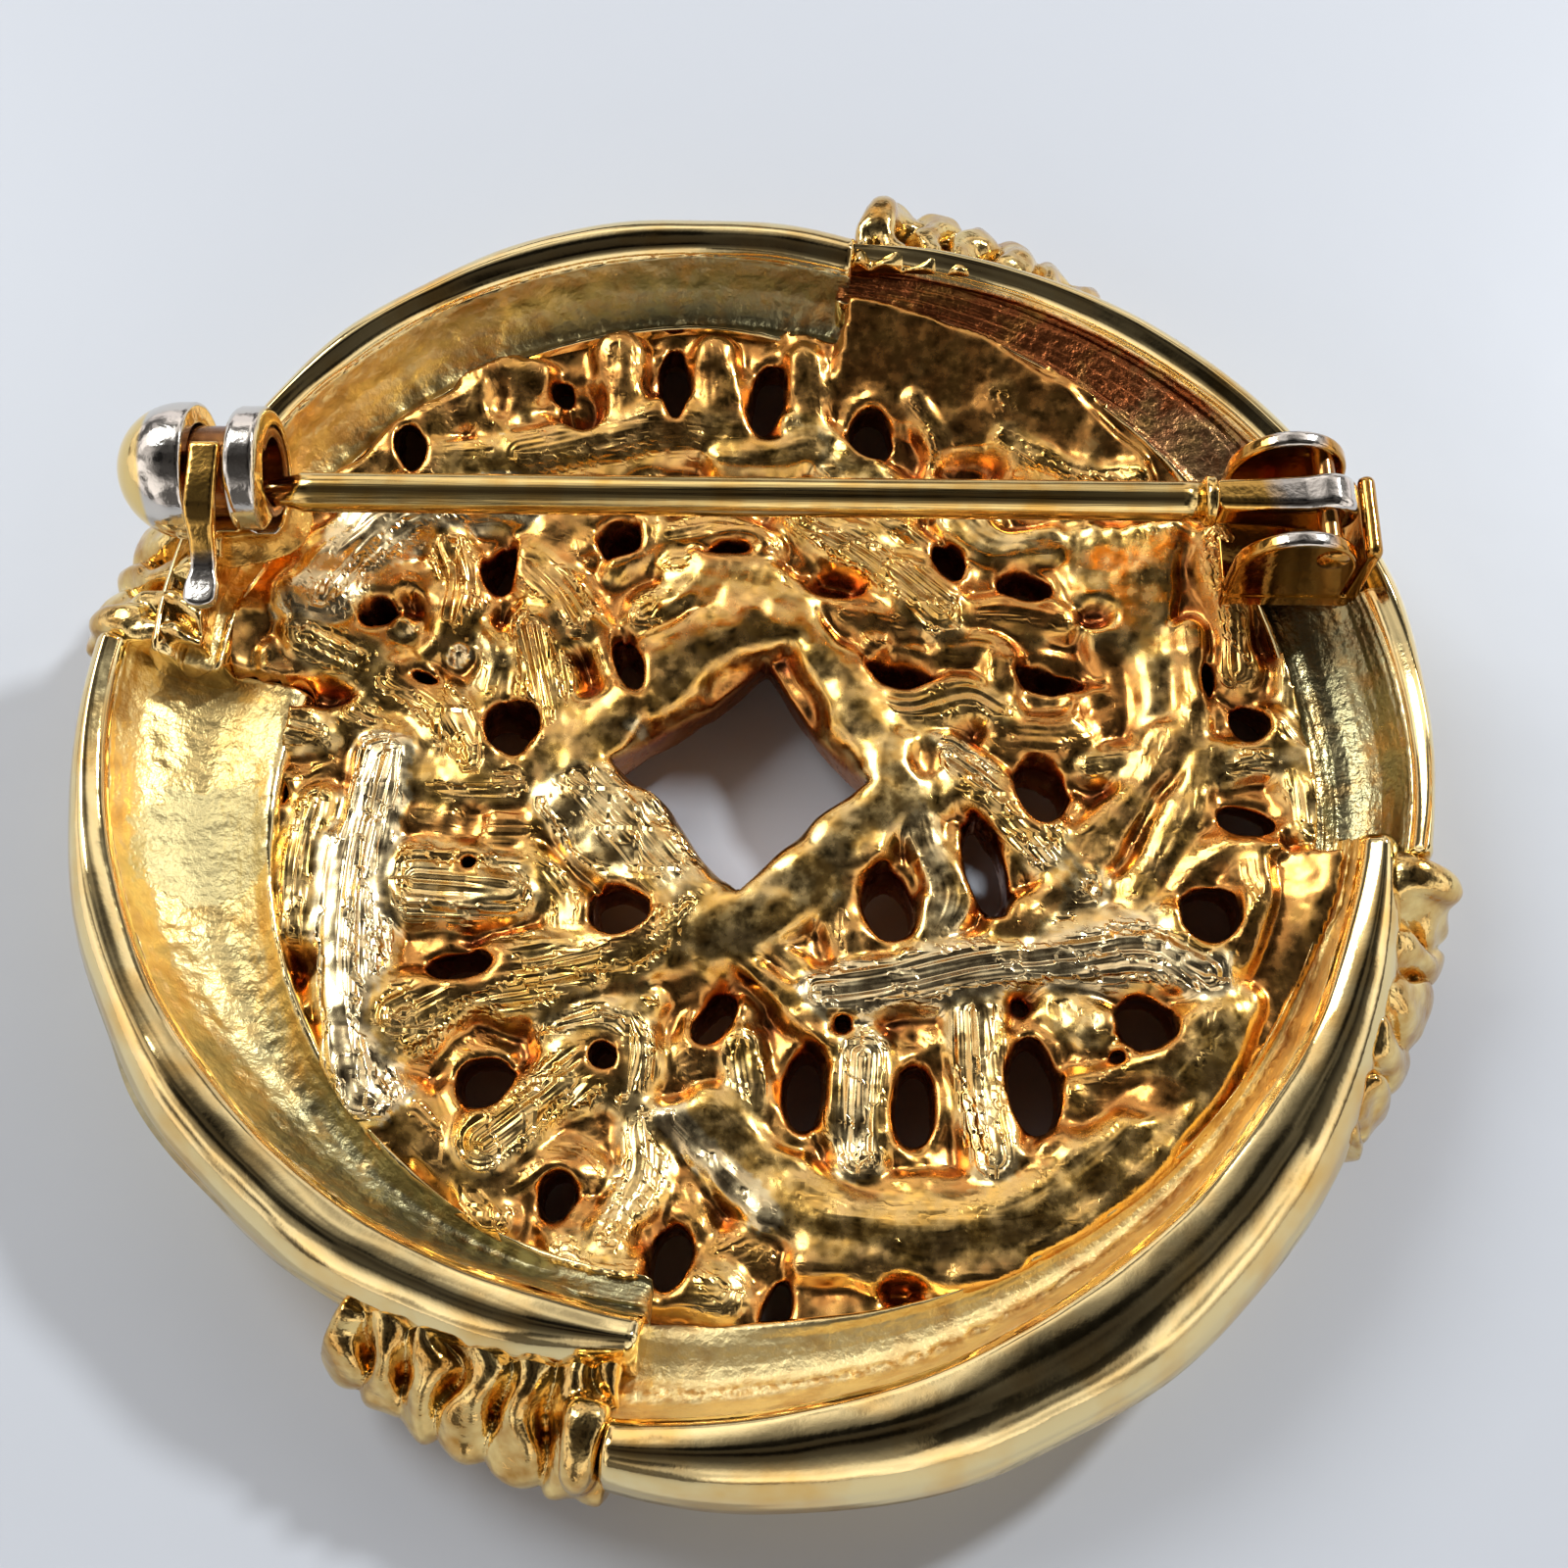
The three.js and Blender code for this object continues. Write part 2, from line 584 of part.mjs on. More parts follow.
// ---- Pin ---------------------------------------------------------------------------------------
function pinStem() {
  const profile = [
    [STEM_TIP_X, 0],
    [STEM_TIP_X + 0.1, STEM_TIP_R],
    [CATCH_FACE_X, STEM_FACE_R],
    [CATCH_FACE_X + STEM_TAPER_LENGTH, STEM_R],
    [COLLAR_X, STEM_R],
    [COLLAR_X, 0],
  ];
  return turnedAlongX(profile, PIN_Y, PIN_Z, 14);
}

function stemCollar() {
  const end = COLLAR_X + COLLAR_LENGTH;
  const profile = [
    [COLLAR_X, 0],
    [COLLAR_X, STEM_R + 0.05],
    [end - COLLAR_BEVEL, COLLAR_R],
    [end, COLLAR_R - COLLAR_BEVEL],
    [end, 0],
  ];
  return turnedAlongX(profile, PIN_Y, PIN_Z, 16);
}

// A round eye on the rivet, with a shank that narrows to the collar.
function stemKnuckle() {
  const shankX = COLLAR_X + COLLAR_LENGTH;
  const shape = new THREE.Shape();
  shape.moveTo(shankX, PIN_Z - STEM_R);
  shape.absarc(RIVET_X, PIN_Z, KNUCKLE_R, -KNUCKLE_JOIN, KNUCKLE_JOIN);
  shape.lineTo(shankX, PIN_Z + STEM_R);
  const eye = new THREE.Path();
  eye.absarc(RIVET_X, PIN_Z, RIVET_R + RUNNING_GAP, 0, 2 * Math.PI, true);
  shape.holes.push(eye);
  return plateAcrossY(shape, PIN_Y, KNUCKLE_WIDTH);
}

// ---- Assembly -------------------------------------------------------------------------------------
const brooch = new THREE.Group();

function addPiece(parent, name, geometry, material) {
  const mesh = new THREE.Mesh(geometry, material);
  mesh.name = name;
  parent.add(mesh);
}

const casting = new THREE.Group();
addPiece(casting, 'woven_dome', wovenDome(), castGold());
for (let quadrant = 0; quadrant < QUADRANTS; quadrant += 1) {
  const number = quadrant + 1;
  addPiece(casting, `crescent_${number}`, crescentForQuadrant(quadrant), polishedGold());
  addPiece(casting, `fluted_tab_${number}`, flutedTab(quadrant), castGold());
  addPiece(casting, `window_band_${number}`, windowBand(quadrant), castGold());
}

const hinge = new THREE.Group();
addPiece(hinge, 'hinge_bracket', hingeBracket(), wornNickel());
addPiece(hinge, 'hinge_rivet', hingeRivet(), polishedGold());

const ballCatch = new THREE.Group();
addPiece(ballCatch, 'catch_foot', catchFoot(), castGold());
addPiece(ballCatch, 'catch_housing', catchHousing(), wornNickel());
addPiece(ballCatch, 'catch_sleeve', catchSleeve(), polishedGold());
addPiece(ballCatch, 'catch_lever', catchLever(), polishedGold());

const pin = new THREE.Group();
addPiece(pin, 'pin_stem', pinStem(), polishedGold());
addPiece(pin, 'stem_collar', stemCollar(), polishedGold());
addPiece(pin, 'stem_knuckle', stemKnuckle(), wornNickel());

brooch.add(casting, hinge, ballCatch, pin);

export default brooch;
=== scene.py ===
"""Openwork gold brooch lying face down, seen from its back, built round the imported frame.

The casting is modelled as reliefs and fields on fine grids, whose zero surface becomes the
mesh. Lengths are in millimetres until a mesh is made. Joints, levels and the findings' boxes
come from the frame; the rim's radii and the weave are set here.
"""

import json
import math

import bpy
import numpy as np
import openvdb
from mathutils import Matrix, Vector


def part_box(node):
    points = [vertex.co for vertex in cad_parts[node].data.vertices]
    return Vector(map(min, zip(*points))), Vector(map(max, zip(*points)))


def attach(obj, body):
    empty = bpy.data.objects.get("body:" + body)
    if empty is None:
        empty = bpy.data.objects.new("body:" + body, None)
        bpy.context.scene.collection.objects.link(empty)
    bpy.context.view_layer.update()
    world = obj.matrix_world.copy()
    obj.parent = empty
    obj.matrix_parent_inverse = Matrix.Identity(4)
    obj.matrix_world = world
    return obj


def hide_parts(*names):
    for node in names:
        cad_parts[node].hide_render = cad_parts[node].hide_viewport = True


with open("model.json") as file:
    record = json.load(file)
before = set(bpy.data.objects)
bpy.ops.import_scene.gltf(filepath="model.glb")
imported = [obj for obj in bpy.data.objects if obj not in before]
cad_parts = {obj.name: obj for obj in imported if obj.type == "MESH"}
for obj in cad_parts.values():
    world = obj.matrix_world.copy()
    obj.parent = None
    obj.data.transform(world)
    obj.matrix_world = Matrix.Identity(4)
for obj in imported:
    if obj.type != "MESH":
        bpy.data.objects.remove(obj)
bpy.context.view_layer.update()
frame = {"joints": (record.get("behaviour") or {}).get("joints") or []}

MM = 0.001
COARSE = 1.0


# ---- Dimensions read from the frame ----------------------------------------------------
def box_mm(node):
    low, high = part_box(node)
    return np.array(low) / MM, np.array(high) / MM


def joint_place(name):
    for joint in frame["joints"]:
        if joint["name"] == name:
            return np.array(joint["pos_m"]) / MM
    raise ValueError(f"no joint named {name}")


RIVET_X, PIN_Y, PIN_Z = joint_place("stem_hinge")
CATCH_AXIS = joint_place("catch_turn")
DOME_LOW, DOME_HIGH = box_mm("woven_dome")
CREST_Z = box_mm("crescent_3")[1][2]
BAND_TOP_Z = box_mm("window_band_1")[1][2]

QUADRANTS = 4
FIRST_END = math.radians(80.5)  # blunt end of crescent 1
SWEEP = math.radians(89.15)
WINDOW_TURN = math.radians(37.6)


# ---- Grid and field helpers ------------------------------------------------------------
NOISE_LATTICE = 61  # random values along each axis before they repeat
NOISE_OFFSET = 1000.0  # keeps every place above zero, in cells


def smooth_max(a, b, width):
    blend = np.clip(0.5 + 0.5 * (a - b) / width, 0, 1)
    return b + (a - b) * blend + width * blend * (1 - blend)


def smooth_min(a, b, width):
    return -smooth_max(-a, -b, width)


def smooth_step(low, high, value):
    t = np.clip((value - low) / (high - low), 0, 1)
    return t * t * (3 - 2 * t)


def value_noise(places, cell, seed):
    """Smooth noise from -1 to 1 whose bumps are about one cell across."""
    size = (NOISE_LATTICE,) * len(places)
    lattice = np.random.default_rng(seed).uniform(-1, 1, size)
    whole = []
    part = []
    for place in places:
        scaled = place / cell + NOISE_OFFSET
        floor = np.floor(scaled)
        step = scaled - floor
        whole.append(floor.astype(int))
        part.append(step * step * (3 - 2 * step))
    total = 0
    for corner in range(2 ** len(places)):
        weight = 1
        index = []
        for axis, (base, step) in enumerate(zip(whole, part)):
            upper = corner >> axis & 1
            weight = weight * (step if upper else 1 - step)
            index.append((base + upper) % NOISE_LATTICE)
        total = total + weight * lattice[tuple(np.broadcast_arrays(*index))]
    return total


def catmull_rom(a, b, c, d, t):
    """Place at t between b and c on a curve through all four."""
    return 0.5 * (2 * b + (c - a) * t + (2 * a - 5 * b + 4 * c - d) * t ** 2
                  + (3 * b - a - 3 * c + d) * t ** 3)


def smooth_path(points, steps=6):
    """Curve of short straight parts through the points."""
    knots = np.array(points, float)
    padded = np.vstack([2 * knots[0] - knots[1], knots, 2 * knots[-1] - knots[-2]])
    curve = []
    for i in range(len(knots) - 1):
        a, b, c, d = padded[i:i + 4]
        for t in np.arange(steps) / steps:
            curve.append(catmull_rom(a, b, c, d, t))
    curve.append(knots[-1])
    return np.array(curve)


def path_coordinates(x, y, path):
    """Distance along a path and signed distance across it."""
    best = np.full(x.shape, 1e9)
    along = np.zeros(x.shape)
    across = np.zeros(x.shape)
    walked = 0.0
    for start, end in zip(path[:-1], path[1:]):
        step = end - start
        length = float(np.hypot(*step))
        if length < 1e-6:
            continue
        unit = step / length
        t = np.clip(((x - start[0]) * unit[0] + (y - start[1]) * unit[1]) / length, 0, 1)
        dx = x - start[0] - t * step[0]
        dy = y - start[1] - t * step[1]
        distance = np.hypot(dx, dy)
        nearer = distance < best
        side = np.where(unit[0] * dy - unit[1] * dx >= 0, 1.0, -1.0)
        best = np.where(nearer, distance, best)
        across = np.where(nearer, side * distance, across)
        along = np.where(nearer, walked + t * length, along)
        walked += length
    return along, across


def add_to_scene(name, data):
    item = bpy.data.objects.new(name, data)
    bpy.context.scene.collection.objects.link(item)
    return item


def make_object(name, vertices_mm, faces):
    mesh = bpy.data.meshes.new(name)
    mesh.from_pydata((np.asarray(vertices_mm) * MM).tolist(), [], [list(f) for f in faces])
    mesh.update()
    mesh.shade_smooth()
    return add_to_scene(name, mesh)


def add_vector(piece, name, values):
    attribute = piece.data.attributes.new(name, "FLOAT_VECTOR", "POINT")
    attribute.data.foreach_set("vector", np.asarray(values, np.float32).ravel())


def zero_surface(name, field, low, voxel):
    """Mesh of the surface where a field sampled on a grid is zero; inside is negative."""
    grid = openvdb.FloatGrid(background=1.0)
    grid.copyFromArray(np.ascontiguousarray(field, np.float32))
    points, quads = grid.convertToQuads(isovalue=0.0)
    vertices = points * voxel + np.asarray(low)
    corners = vertices[quads]
    normal = np.cross(corners[:, 2] - corners[:, 0], corners[:, 3] - corners[:, 1])
    if (corners.mean(1) * normal).sum() < 0:
        quads = quads[:, ::-1]
    mesh = bpy.data.meshes.new(name)
    mesh.vertices.add(len(vertices))
    mesh.vertices.foreach_set("co", (vertices * MM).astype(np.float32).ravel())
    mesh.loops.add(4 * len(quads))
    mesh.loops.foreach_set("vertex_index", quads.astype(np.int32).ravel())
    mesh.polygons.add(len(quads))
    mesh.polygons.foreach_set("loop_start", np.arange(0, 4 * len(quads), 4, dtype=np.int32))
    mesh.update(calc_edges=True)
    mesh.validate()
    mesh.shade_smooth()
    return add_to_scene(name, mesh), vertices


def space(low, high, voxel):
    """Open grid of x, y and z between two corners."""
    counts = [int(math.ceil((b - a) / voxel)) + 1 for a, b in zip(low, high)]
    axes = [low[i] + voxel * np.arange(counts[i]) for i in range(3)]
    return np.meshgrid(*axes, indexing="ij", sparse=True)


def field_piece(name, low, high, voxel, shape):
    """Piece from shape(x, y, z), a field in millimetres."""
    voxel = voxel * COARSE
    x, y, z = space(low, high, voxel)
    field = shape(x, y, z) + 0 * (x + y + z)
    return zero_surface(name, field, low, voxel)[0]


# ---- Materials -------------------------------------------------------------------------
GOLD = (0.86, 0.50, 0.12)
PALE_GOLD = (0.92, 0.68, 0.27)
DARK_GOLD = (0.55, 0.28, 0.06)
BRONZE = (0.36, 0.16, 0.05)
AMBER = (0.66, 0.29, 0.07)
COPPER = (0.34, 0.10, 0.03)
UMBER = (0.16, 0.06, 0.025)
SILVER = (0.74, 0.69, 0.62)
# Pale gold for the painted highlights on the weave
PALE_HIGHLIGHT = (0.86, 0.74, 0.48)
LIP_GOLD = (0.93, 0.74, 0.36)
OLIVE = (0.38, 0.33, 0.17)
CREAM = (0.78, 0.66, 0.33)


NOISE_ROUGHNESS = 0.55
SOLDER_R = 2.3  # of the matte patch


class Shader:
    """A metal material and the nodes that shape its colour, roughness and bump."""

    def __init__(self, name, roughness=0.2):
        self.material = bpy.data.materials.new(name)
        self.material.use_nodes = True
        self.tree = self.material.node_tree
        self.bsdf = self.tree.nodes["Principled BSDF"]
        self.bsdf.inputs["Metallic"].default_value = 1.0
        self.bsdf.inputs["Roughness"].default_value = roughness
        coordinates = self.tree.nodes.new("ShaderNodeTexCoord")
        self.object_place = coordinates.outputs["Object"]

    def link(self, source, target):
        self.tree.links.new(source, target)

    def feed(self, item, socket):
        """Sets a socket from a number or a colour, or links it to another one."""
        if isinstance(item, tuple):
            socket.default_value = item + (1.0,)
        elif isinstance(item, (int, float)):
            socket.default_value = item
        else:
            self.link(item, socket)

    def value(self, operation, *items):
        node = self.tree.nodes.new("ShaderNodeMath")
        node.operation = operation
        for socket, item in zip(node.inputs, items):
            self.feed(item, socket)
        return node.outputs[0]

    def split(self, source):
        parts = self.tree.nodes.new("ShaderNodeSeparateXYZ")
        self.link(source, parts.inputs[0])
        return parts.outputs

    def attribute(self, name):
        node = self.tree.nodes.new("ShaderNodeAttribute")
        node.attribute_name = name
        return self.split(node.outputs["Vector"])

    def vector(self, x, y, z):
        node = self.tree.nodes.new("ShaderNodeCombineXYZ")
        for socket, item in zip(node.inputs, (x, y, z)):
            self.feed(item, socket)
        return node.outputs[0]

    def noise(self, size_mm, place=None, detail=3.0):
        """Noise whose bumps are size_mm across on the object, or one unit of place."""
        node = self.tree.nodes.new("ShaderNodeTexNoise")
        node.inputs["Scale"].default_value = 1 / (size_mm * MM) if place is None else 1 / size_mm
        node.inputs["Detail"].default_value = detail
        node.inputs["Roughness"].default_value = NOISE_ROUGHNESS
        self.link(self.object_place if place is None else place, node.inputs["Vector"])
        return node.outputs[0]

    def spread(self, source, low, high):
        """0 below low and 1 above high."""
        node = self.tree.nodes.new("ShaderNodeMapRange")
        node.inputs["From Min"].default_value = low
        node.inputs["From Max"].default_value = high
        self.link(source, node.inputs["Value"])
        return node.outputs[0]

    def spot(self, place_mm, radius_mm):
        """1 within a ragged circle about a place in XY, and 0 outside it."""
        x, y, _ = self.split(self.object_place)
        flat = self.vector(x, y, 0.0)
        away = self.tree.nodes.new("ShaderNodeVectorMath")
        away.operation = "DISTANCE"
        away.inputs[1].default_value = (place_mm[0] * MM, place_mm[1] * MM, 0.0)
        self.link(flat, away.inputs[0])
        ragged = self.value("MULTIPLY", self.noise(0.9), 0.8 * radius_mm * MM)
        reach = self.value("ADD", away.outputs["Value"], ragged)
        return self.value("SUBTRACT", 1.0, self.spread(reach, 1.35 * radius_mm * MM,
                                                       1.42 * radius_mm * MM))

    def mix(self, factor, a, b):
        node = self.tree.nodes.new("ShaderNodeMix")
        node.data_type = "RGBA"
        self.link(factor, node.inputs["Factor"])
        # Sockets 6 and 7 are the two colours, and output 2 is the mixed one.
        self.feed(a, node.inputs[6])
        self.feed(b, node.inputs[7])
        return node.outputs[2]

    def colour(self, source):
        self.link(source, self.bsdf.inputs["Base Color"])

    def rough(self, source, low, high):
        node = self.tree.nodes.new("ShaderNodeMapRange")
        node.inputs["To Min"].default_value = low
        node.inputs["To Max"].default_value = high
        self.link(source, node.inputs["Value"])
        self.link(node.outputs[0], self.bsdf.inputs["Roughness"])

    def bump(self, layers):
        """Layers of (height source, depth in millimetres), one on top of another."""
        normal = None
        for height, depth_mm in layers:
            node = self.tree.nodes.new("ShaderNodeBump")
            node.inputs["Distance"].default_value = depth_mm * MM
            self.link(height, node.inputs["Height"])
            if normal is not None:
                self.link(normal, node.inputs["Normal"])
            normal = node.outputs[0]
        self.link(normal, self.bsdf.inputs["Normal"])


def weave_material():
    """Cast gold: striated along the strands, with reddish painted shade in the recesses and pale
    painted highlights.
    """
    s = Shader("cast_gold_weave")
    along, across, strand = s.attribute("strand")
    striation, tone, recess_shade = s.attribute("relief")
    mottle = s.noise(1.0)
    uneven = s.value("SUBTRACT", mottle, 0.5)
    # Painted highlight: high tones, with some mottle, turn pale, as bright glints on the strands.
    pale_highlight = s.spread(s.value("ADD", tone, s.value("MULTIPLY", mottle, 0.4)), 0.35, 0.9)
    base = s.mix(s.spread(mottle, 0.4, 0.7), GOLD, PALE_GOLD)
    base = s.mix(s.value("MULTIPLY", pale_highlight, 0.6), base, PALE_HIGHLIGHT)
    # Painted shade: sunk places and low tones turn amber, then copper; partly the casting's own
    # reddish tint, partly painted shade.
    coppery_shade = s.value("SUBTRACT", recess_shade, s.value("MULTIPLY", tone, 0.5))
    coppery_shade = s.value("ADD", coppery_shade, uneven)
    base = s.mix(s.spread(coppery_shade, -0.1, 0.45), base, AMBER)
    base = s.mix(s.spread(coppery_shade, 0.6, 1.3), base, COPPER)
    s.colour(base)
    s.rough(s.spread(s.noise(0.5), 0.35, 0.65), 0.14, 0.32)
    lines = s.noise(0.26, s.vector(across, s.value("MULTIPLY", along, 0.05), strand), 0.0)
    lines = s.value("MULTIPLY", s.value("SUBTRACT", lines, 0.5), striation)
    s.bump([(s.noise(0.8, detail=1.0), 0.05), (lines, 0.40)])
    return s.material


def crescent_material(name, channel_start, channel_end, channel_rough, patch=None):
    """A polished rolled lip, a duller pitted channel, and a matte patch of solder, if any."""
    s = Shader(name)
    in_channel, line, station = s.attribute("finish")
    mottle = s.noise(1.3)
    polished = s.mix(s.spread(s.noise(2.6), 0.45, 0.8), LIP_GOLD, GOLD)
    shift = s.value("ADD", station, s.value("MULTIPLY", s.value("SUBTRACT", mottle, 0.5), 0.7))
    channel = s.mix(s.spread(shift, 0.35, 0.75), channel_start, channel_end)
    dull = s.mix(s.spread(mottle, 0.5, 0.85), channel, DARK_GOLD)
    speckle = s.spread(s.noise(0.25), 0.4, 0.6)
    dull = s.mix(s.value("MULTIPLY", line, speckle), dull, DARK_GOLD)
    if patch:
        solder = s.value("MULTIPLY", in_channel, s.spot(patch, SOLDER_R))
        dull = s.mix(solder, dull, CREAM)
        in_channel = s.value("MULTIPLY_ADD", solder, 0.6, in_channel)
    s.colour(s.mix(in_channel, polished, dull))
    grain = s.spread(s.noise(0.35), 0.3, 0.7)
    s.rough(s.value("MULTIPLY_ADD", in_channel, channel_rough, s.value("MULTIPLY", grain, 0.08)),
            0.06, 0.75)
    rough_here = s.value("MAXIMUM", in_channel, 0.06)
    pits = s.value("MULTIPLY", s.noise(0.28), rough_here)
    s.bump([(s.noise(3.0, detail=1.0), 0.10), (pits, 0.06)])
    return s.material


def cast_material(name, light, dark, grain_mm, low, high, depth):
    """Two golds in patches; roughness from low to high, and a fine grain of some depth."""
    s = Shader(name)
    s.colour(s.mix(s.spread(s.noise(1.1), 0.35, 0.68), light, dark))
    s.rough(s.noise(grain_mm), low, high)
    s.bump([(s.noise(grain_mm), depth)])
    return s.material


def stem_material():
    """Drawn wire: polished, with faint scratches along its length."""
    s = Shader("polished_gold_wire")
    x, y, z = (s.value("MULTIPLY", part, 1 / MM) for part in s.split(s.object_place))
    scratches = s.noise(0.08, s.vector(s.value("MULTIPLY", x, 0.02), y, z), 2.0)
    s.colour(s.mix(s.spread(s.noise(1.5), 0.4, 0.7), PALE_GOLD, GOLD))
    s.rough(scratches, 0.05, 0.2)
    s.bump([(scratches, 0.008)])
    return s.material


def worn_material(name, axis, bands, fade, base=GOLD):
    """Plating worn to nickel in bands, each from one place to another along an axis, in mm."""
    s = Shader(name)
    place = s.value("MULTIPLY", s.split(s.object_place)[axis], 1 / MM)
    wander = s.value("SUBTRACT", s.noise(1.2), 0.5)
    place = s.value("ADD", place, s.value("MULTIPLY", wander, 1.5 * fade))
    worn = None
    for start, end in bands:
        band = s.value("MULTIPLY", s.spread(place, start, start + fade),
                       s.value("SUBTRACT", 1.0, s.spread(place, end - fade, end)))
        worn = band if worn is None else s.value("MAXIMUM", worn, band)
    s.colour(s.mix(worn, base, SILVER))
    s.rough(s.noise(0.6), 0.05, 0.18)
    s.bump([(s.noise(1.0), 0.03), (s.noise(0.2), 0.006)])
    return s.material


WEAVE = weave_material()
WIRE = stem_material()
# Each crescent's channel at its blunt end and its tail, the channel's roughness, and the
# place of its patch of solder, if it has one
CRESCENT_LOOKS = [
    (COPPER, OLIVE, 0.30),
    (PALE_GOLD, OLIVE, 0.45),
    (OLIVE, PALE_GOLD, 0.45, (-19.2, -3.2)),
    (PALE_GOLD, LIP_GOLD, 0.60),
]


# ---- Crescents -------------------------------------------------------------------------
# Stations run from 0 at a crescent's blunt end to 1 at its tail, clockwise from the back.
def through(*radii):
    """Cubic of the station that runs close to radii a quarter of the way apart."""
    return np.poly1d(np.polyfit(np.linspace(0, 1, len(radii)), radii, 3))


# Radii along each crescent, from blunt end to tail
CREST_R = [
    through(21.0, 21.6, 22.6, 22.9, 22.9),
    through(21.2, 22.2, 22.2, 21.4, 20.4),
    through(19.6, 20.2, 21.1, 22.2, 22.9),
    through(21.2, 21.1, 21.2, 21.8, 22.7),
]
OUTER_R = [
    through(21.9, 23.0, 24.1, 24.1, 23.6),
    through(22.1, 23.3, 24.1, 23.4, 22.4),
    through(21.2, 22.6, 23.5, 24.0, 24.2),
    through(22.7, 23.8, 24.6, 24.8, 24.5),
]
CHANNEL_R = [
    through(19.2, 19.3, 19.2, 19.4, 19.6),
    through(19.4, 19.7, 19.5, 18.8, 17.9),
    through(18.1, 18.2, 17.8, 17.1, 16.6),
    through(20.3, 20.0, 19.5, 19.3, 19.2),
]


CREST_ROLL = 0.45  # width of the crest's inner half
CHANNEL_DEPTH = (1.3, 1.7, 1.3, 0.6)
CHANNEL_EDGE_Z = 4.65  # level of the channel's inner edge
FILL_EDGE_Z = 5.2  # the same where the channel is filled
# Stations over which the filling beside each crescent's blunt end fades out
FILL_FADES = [(0.45, 0.85), (0.04, 0.22), (0.03, 0.15), (0.04, 0.20)]
KNOT_STEPS = 6  # points per knot along a section
FILLED_KNOTS = range(9, 13)  # the knots that a filling lifts
CHANNEL_KNOTS = (9.1, 13.7)  # from the channel's inner edge to the crest
WALL_KNOTS = (2.6, 6.0)  # the outer wall
RIM_R = 21.0  # middle radius, for lengths along a crescent
STATIONS = 230
BODY_SPAN = (-0.004, 1.006)  # stations between the rounded ends
END_CAP = ((0.0, 0.55), (0.12, 0.8), (0.35, 0.95))  # (way through the cap, size of its ring)
BLUNT_CAP = 0.012  # length of each cap, in stations
TAIL_CAP = 0.006
RIDGES_PER_KNOT = 2.3
RIDGES_PER_CRESCENT = 1.1  # how far the ridges drift round the section by the tail
LINE_KNOT = 12.2  # where the rough line starts, on the section
LINE_DRIFT = 0.4  # how far it moves inwards by the tail
LINE_WIDTH = 0.26


def channel_fill(quadrant, station):
    """How far the channel is filled up beside a blunt end."""
    return float(1 - smooth_step(*FILL_FADES[quadrant], station))


def crescent_profile(quadrant, station, fill):
    """Knots of the section as (radius, z); the first lies on the crest line."""
    crest = float(CREST_R[quadrant](station))
    inner = float(CHANNEL_R[quadrant](station))
    channel = crest - inner - CREST_ROLL
    depth = min(CHANNEL_DEPTH[quadrant], 0.75 * (crest - inner))
    lip = float(OUTER_R[quadrant](station)) - crest
    crown = (inner + crest + lip) / 2
    knots = [
        (crest + 0.12, CREST_Z - 0.14),
        (crest + 0.36 * lip, CREST_Z),
        (crest + 0.68 * lip, CREST_Z - 0.45),
        (crest + 0.91 * lip, CREST_Z - 1.4),
        (crest + lip, CREST_Z - 2.8),
        (crest + 0.7 * lip, CREST_Z - 5.1),
        (crown + 0.8, 0.0),
        (crown - 0.8, 0.0),
        (inner + 0.1, DOME_LOW[2]),
        (inner, CHANNEL_EDGE_Z - 0.15 - 0.7 * float(smooth_step(0.8, 1.0, station))),
        (inner + 0.2 * channel, CHANNEL_EDGE_Z - 0.4 * depth),
        (inner + 0.5 * channel, CHANNEL_EDGE_Z - 0.6 * depth),
        (inner + 0.85 * channel, CHANNEL_EDGE_Z - 0.1 * depth),
        (crest - CREST_ROLL, CREST_Z - 1.0),
        (crest - 0.4 * CREST_ROLL, CREST_Z - 0.4),
    ]
    for i in FILLED_KNOTS:
        radius, z = knots[i]
        ramp = FILL_EDGE_Z + (CREST_Z - 0.8 - FILL_EDGE_Z) * (radius - inner) / channel
        knots[i] = (radius, z + (ramp - z) * fill)
    return knots


def closed_curve(knots, steps):
    ring = np.array(knots, float)
    count = len(ring)
    points = []
    for i in range(count):
        a, b, c, d = (ring[(i + j) % count] for j in (-1, 0, 1, 2))
        for t in np.arange(steps) / steps:
            points.append(catmull_rom(a, b, c, d, t))
    return np.array(points)


# How each crescent differs: depth of the ridges along its channel and along its outer
# wall, depth of the pitting, and the strength of the rough line along the channel.
CRESCENT_RELIEF = [
    (0.11, 0.03, 0.02, 0.0),
    (0.02, 0.02, 0.05, 0.2),
    (0.03, 0.11, 0.04, 0.4),
    (0.02, 0.04, 0.015, 1.0),
]


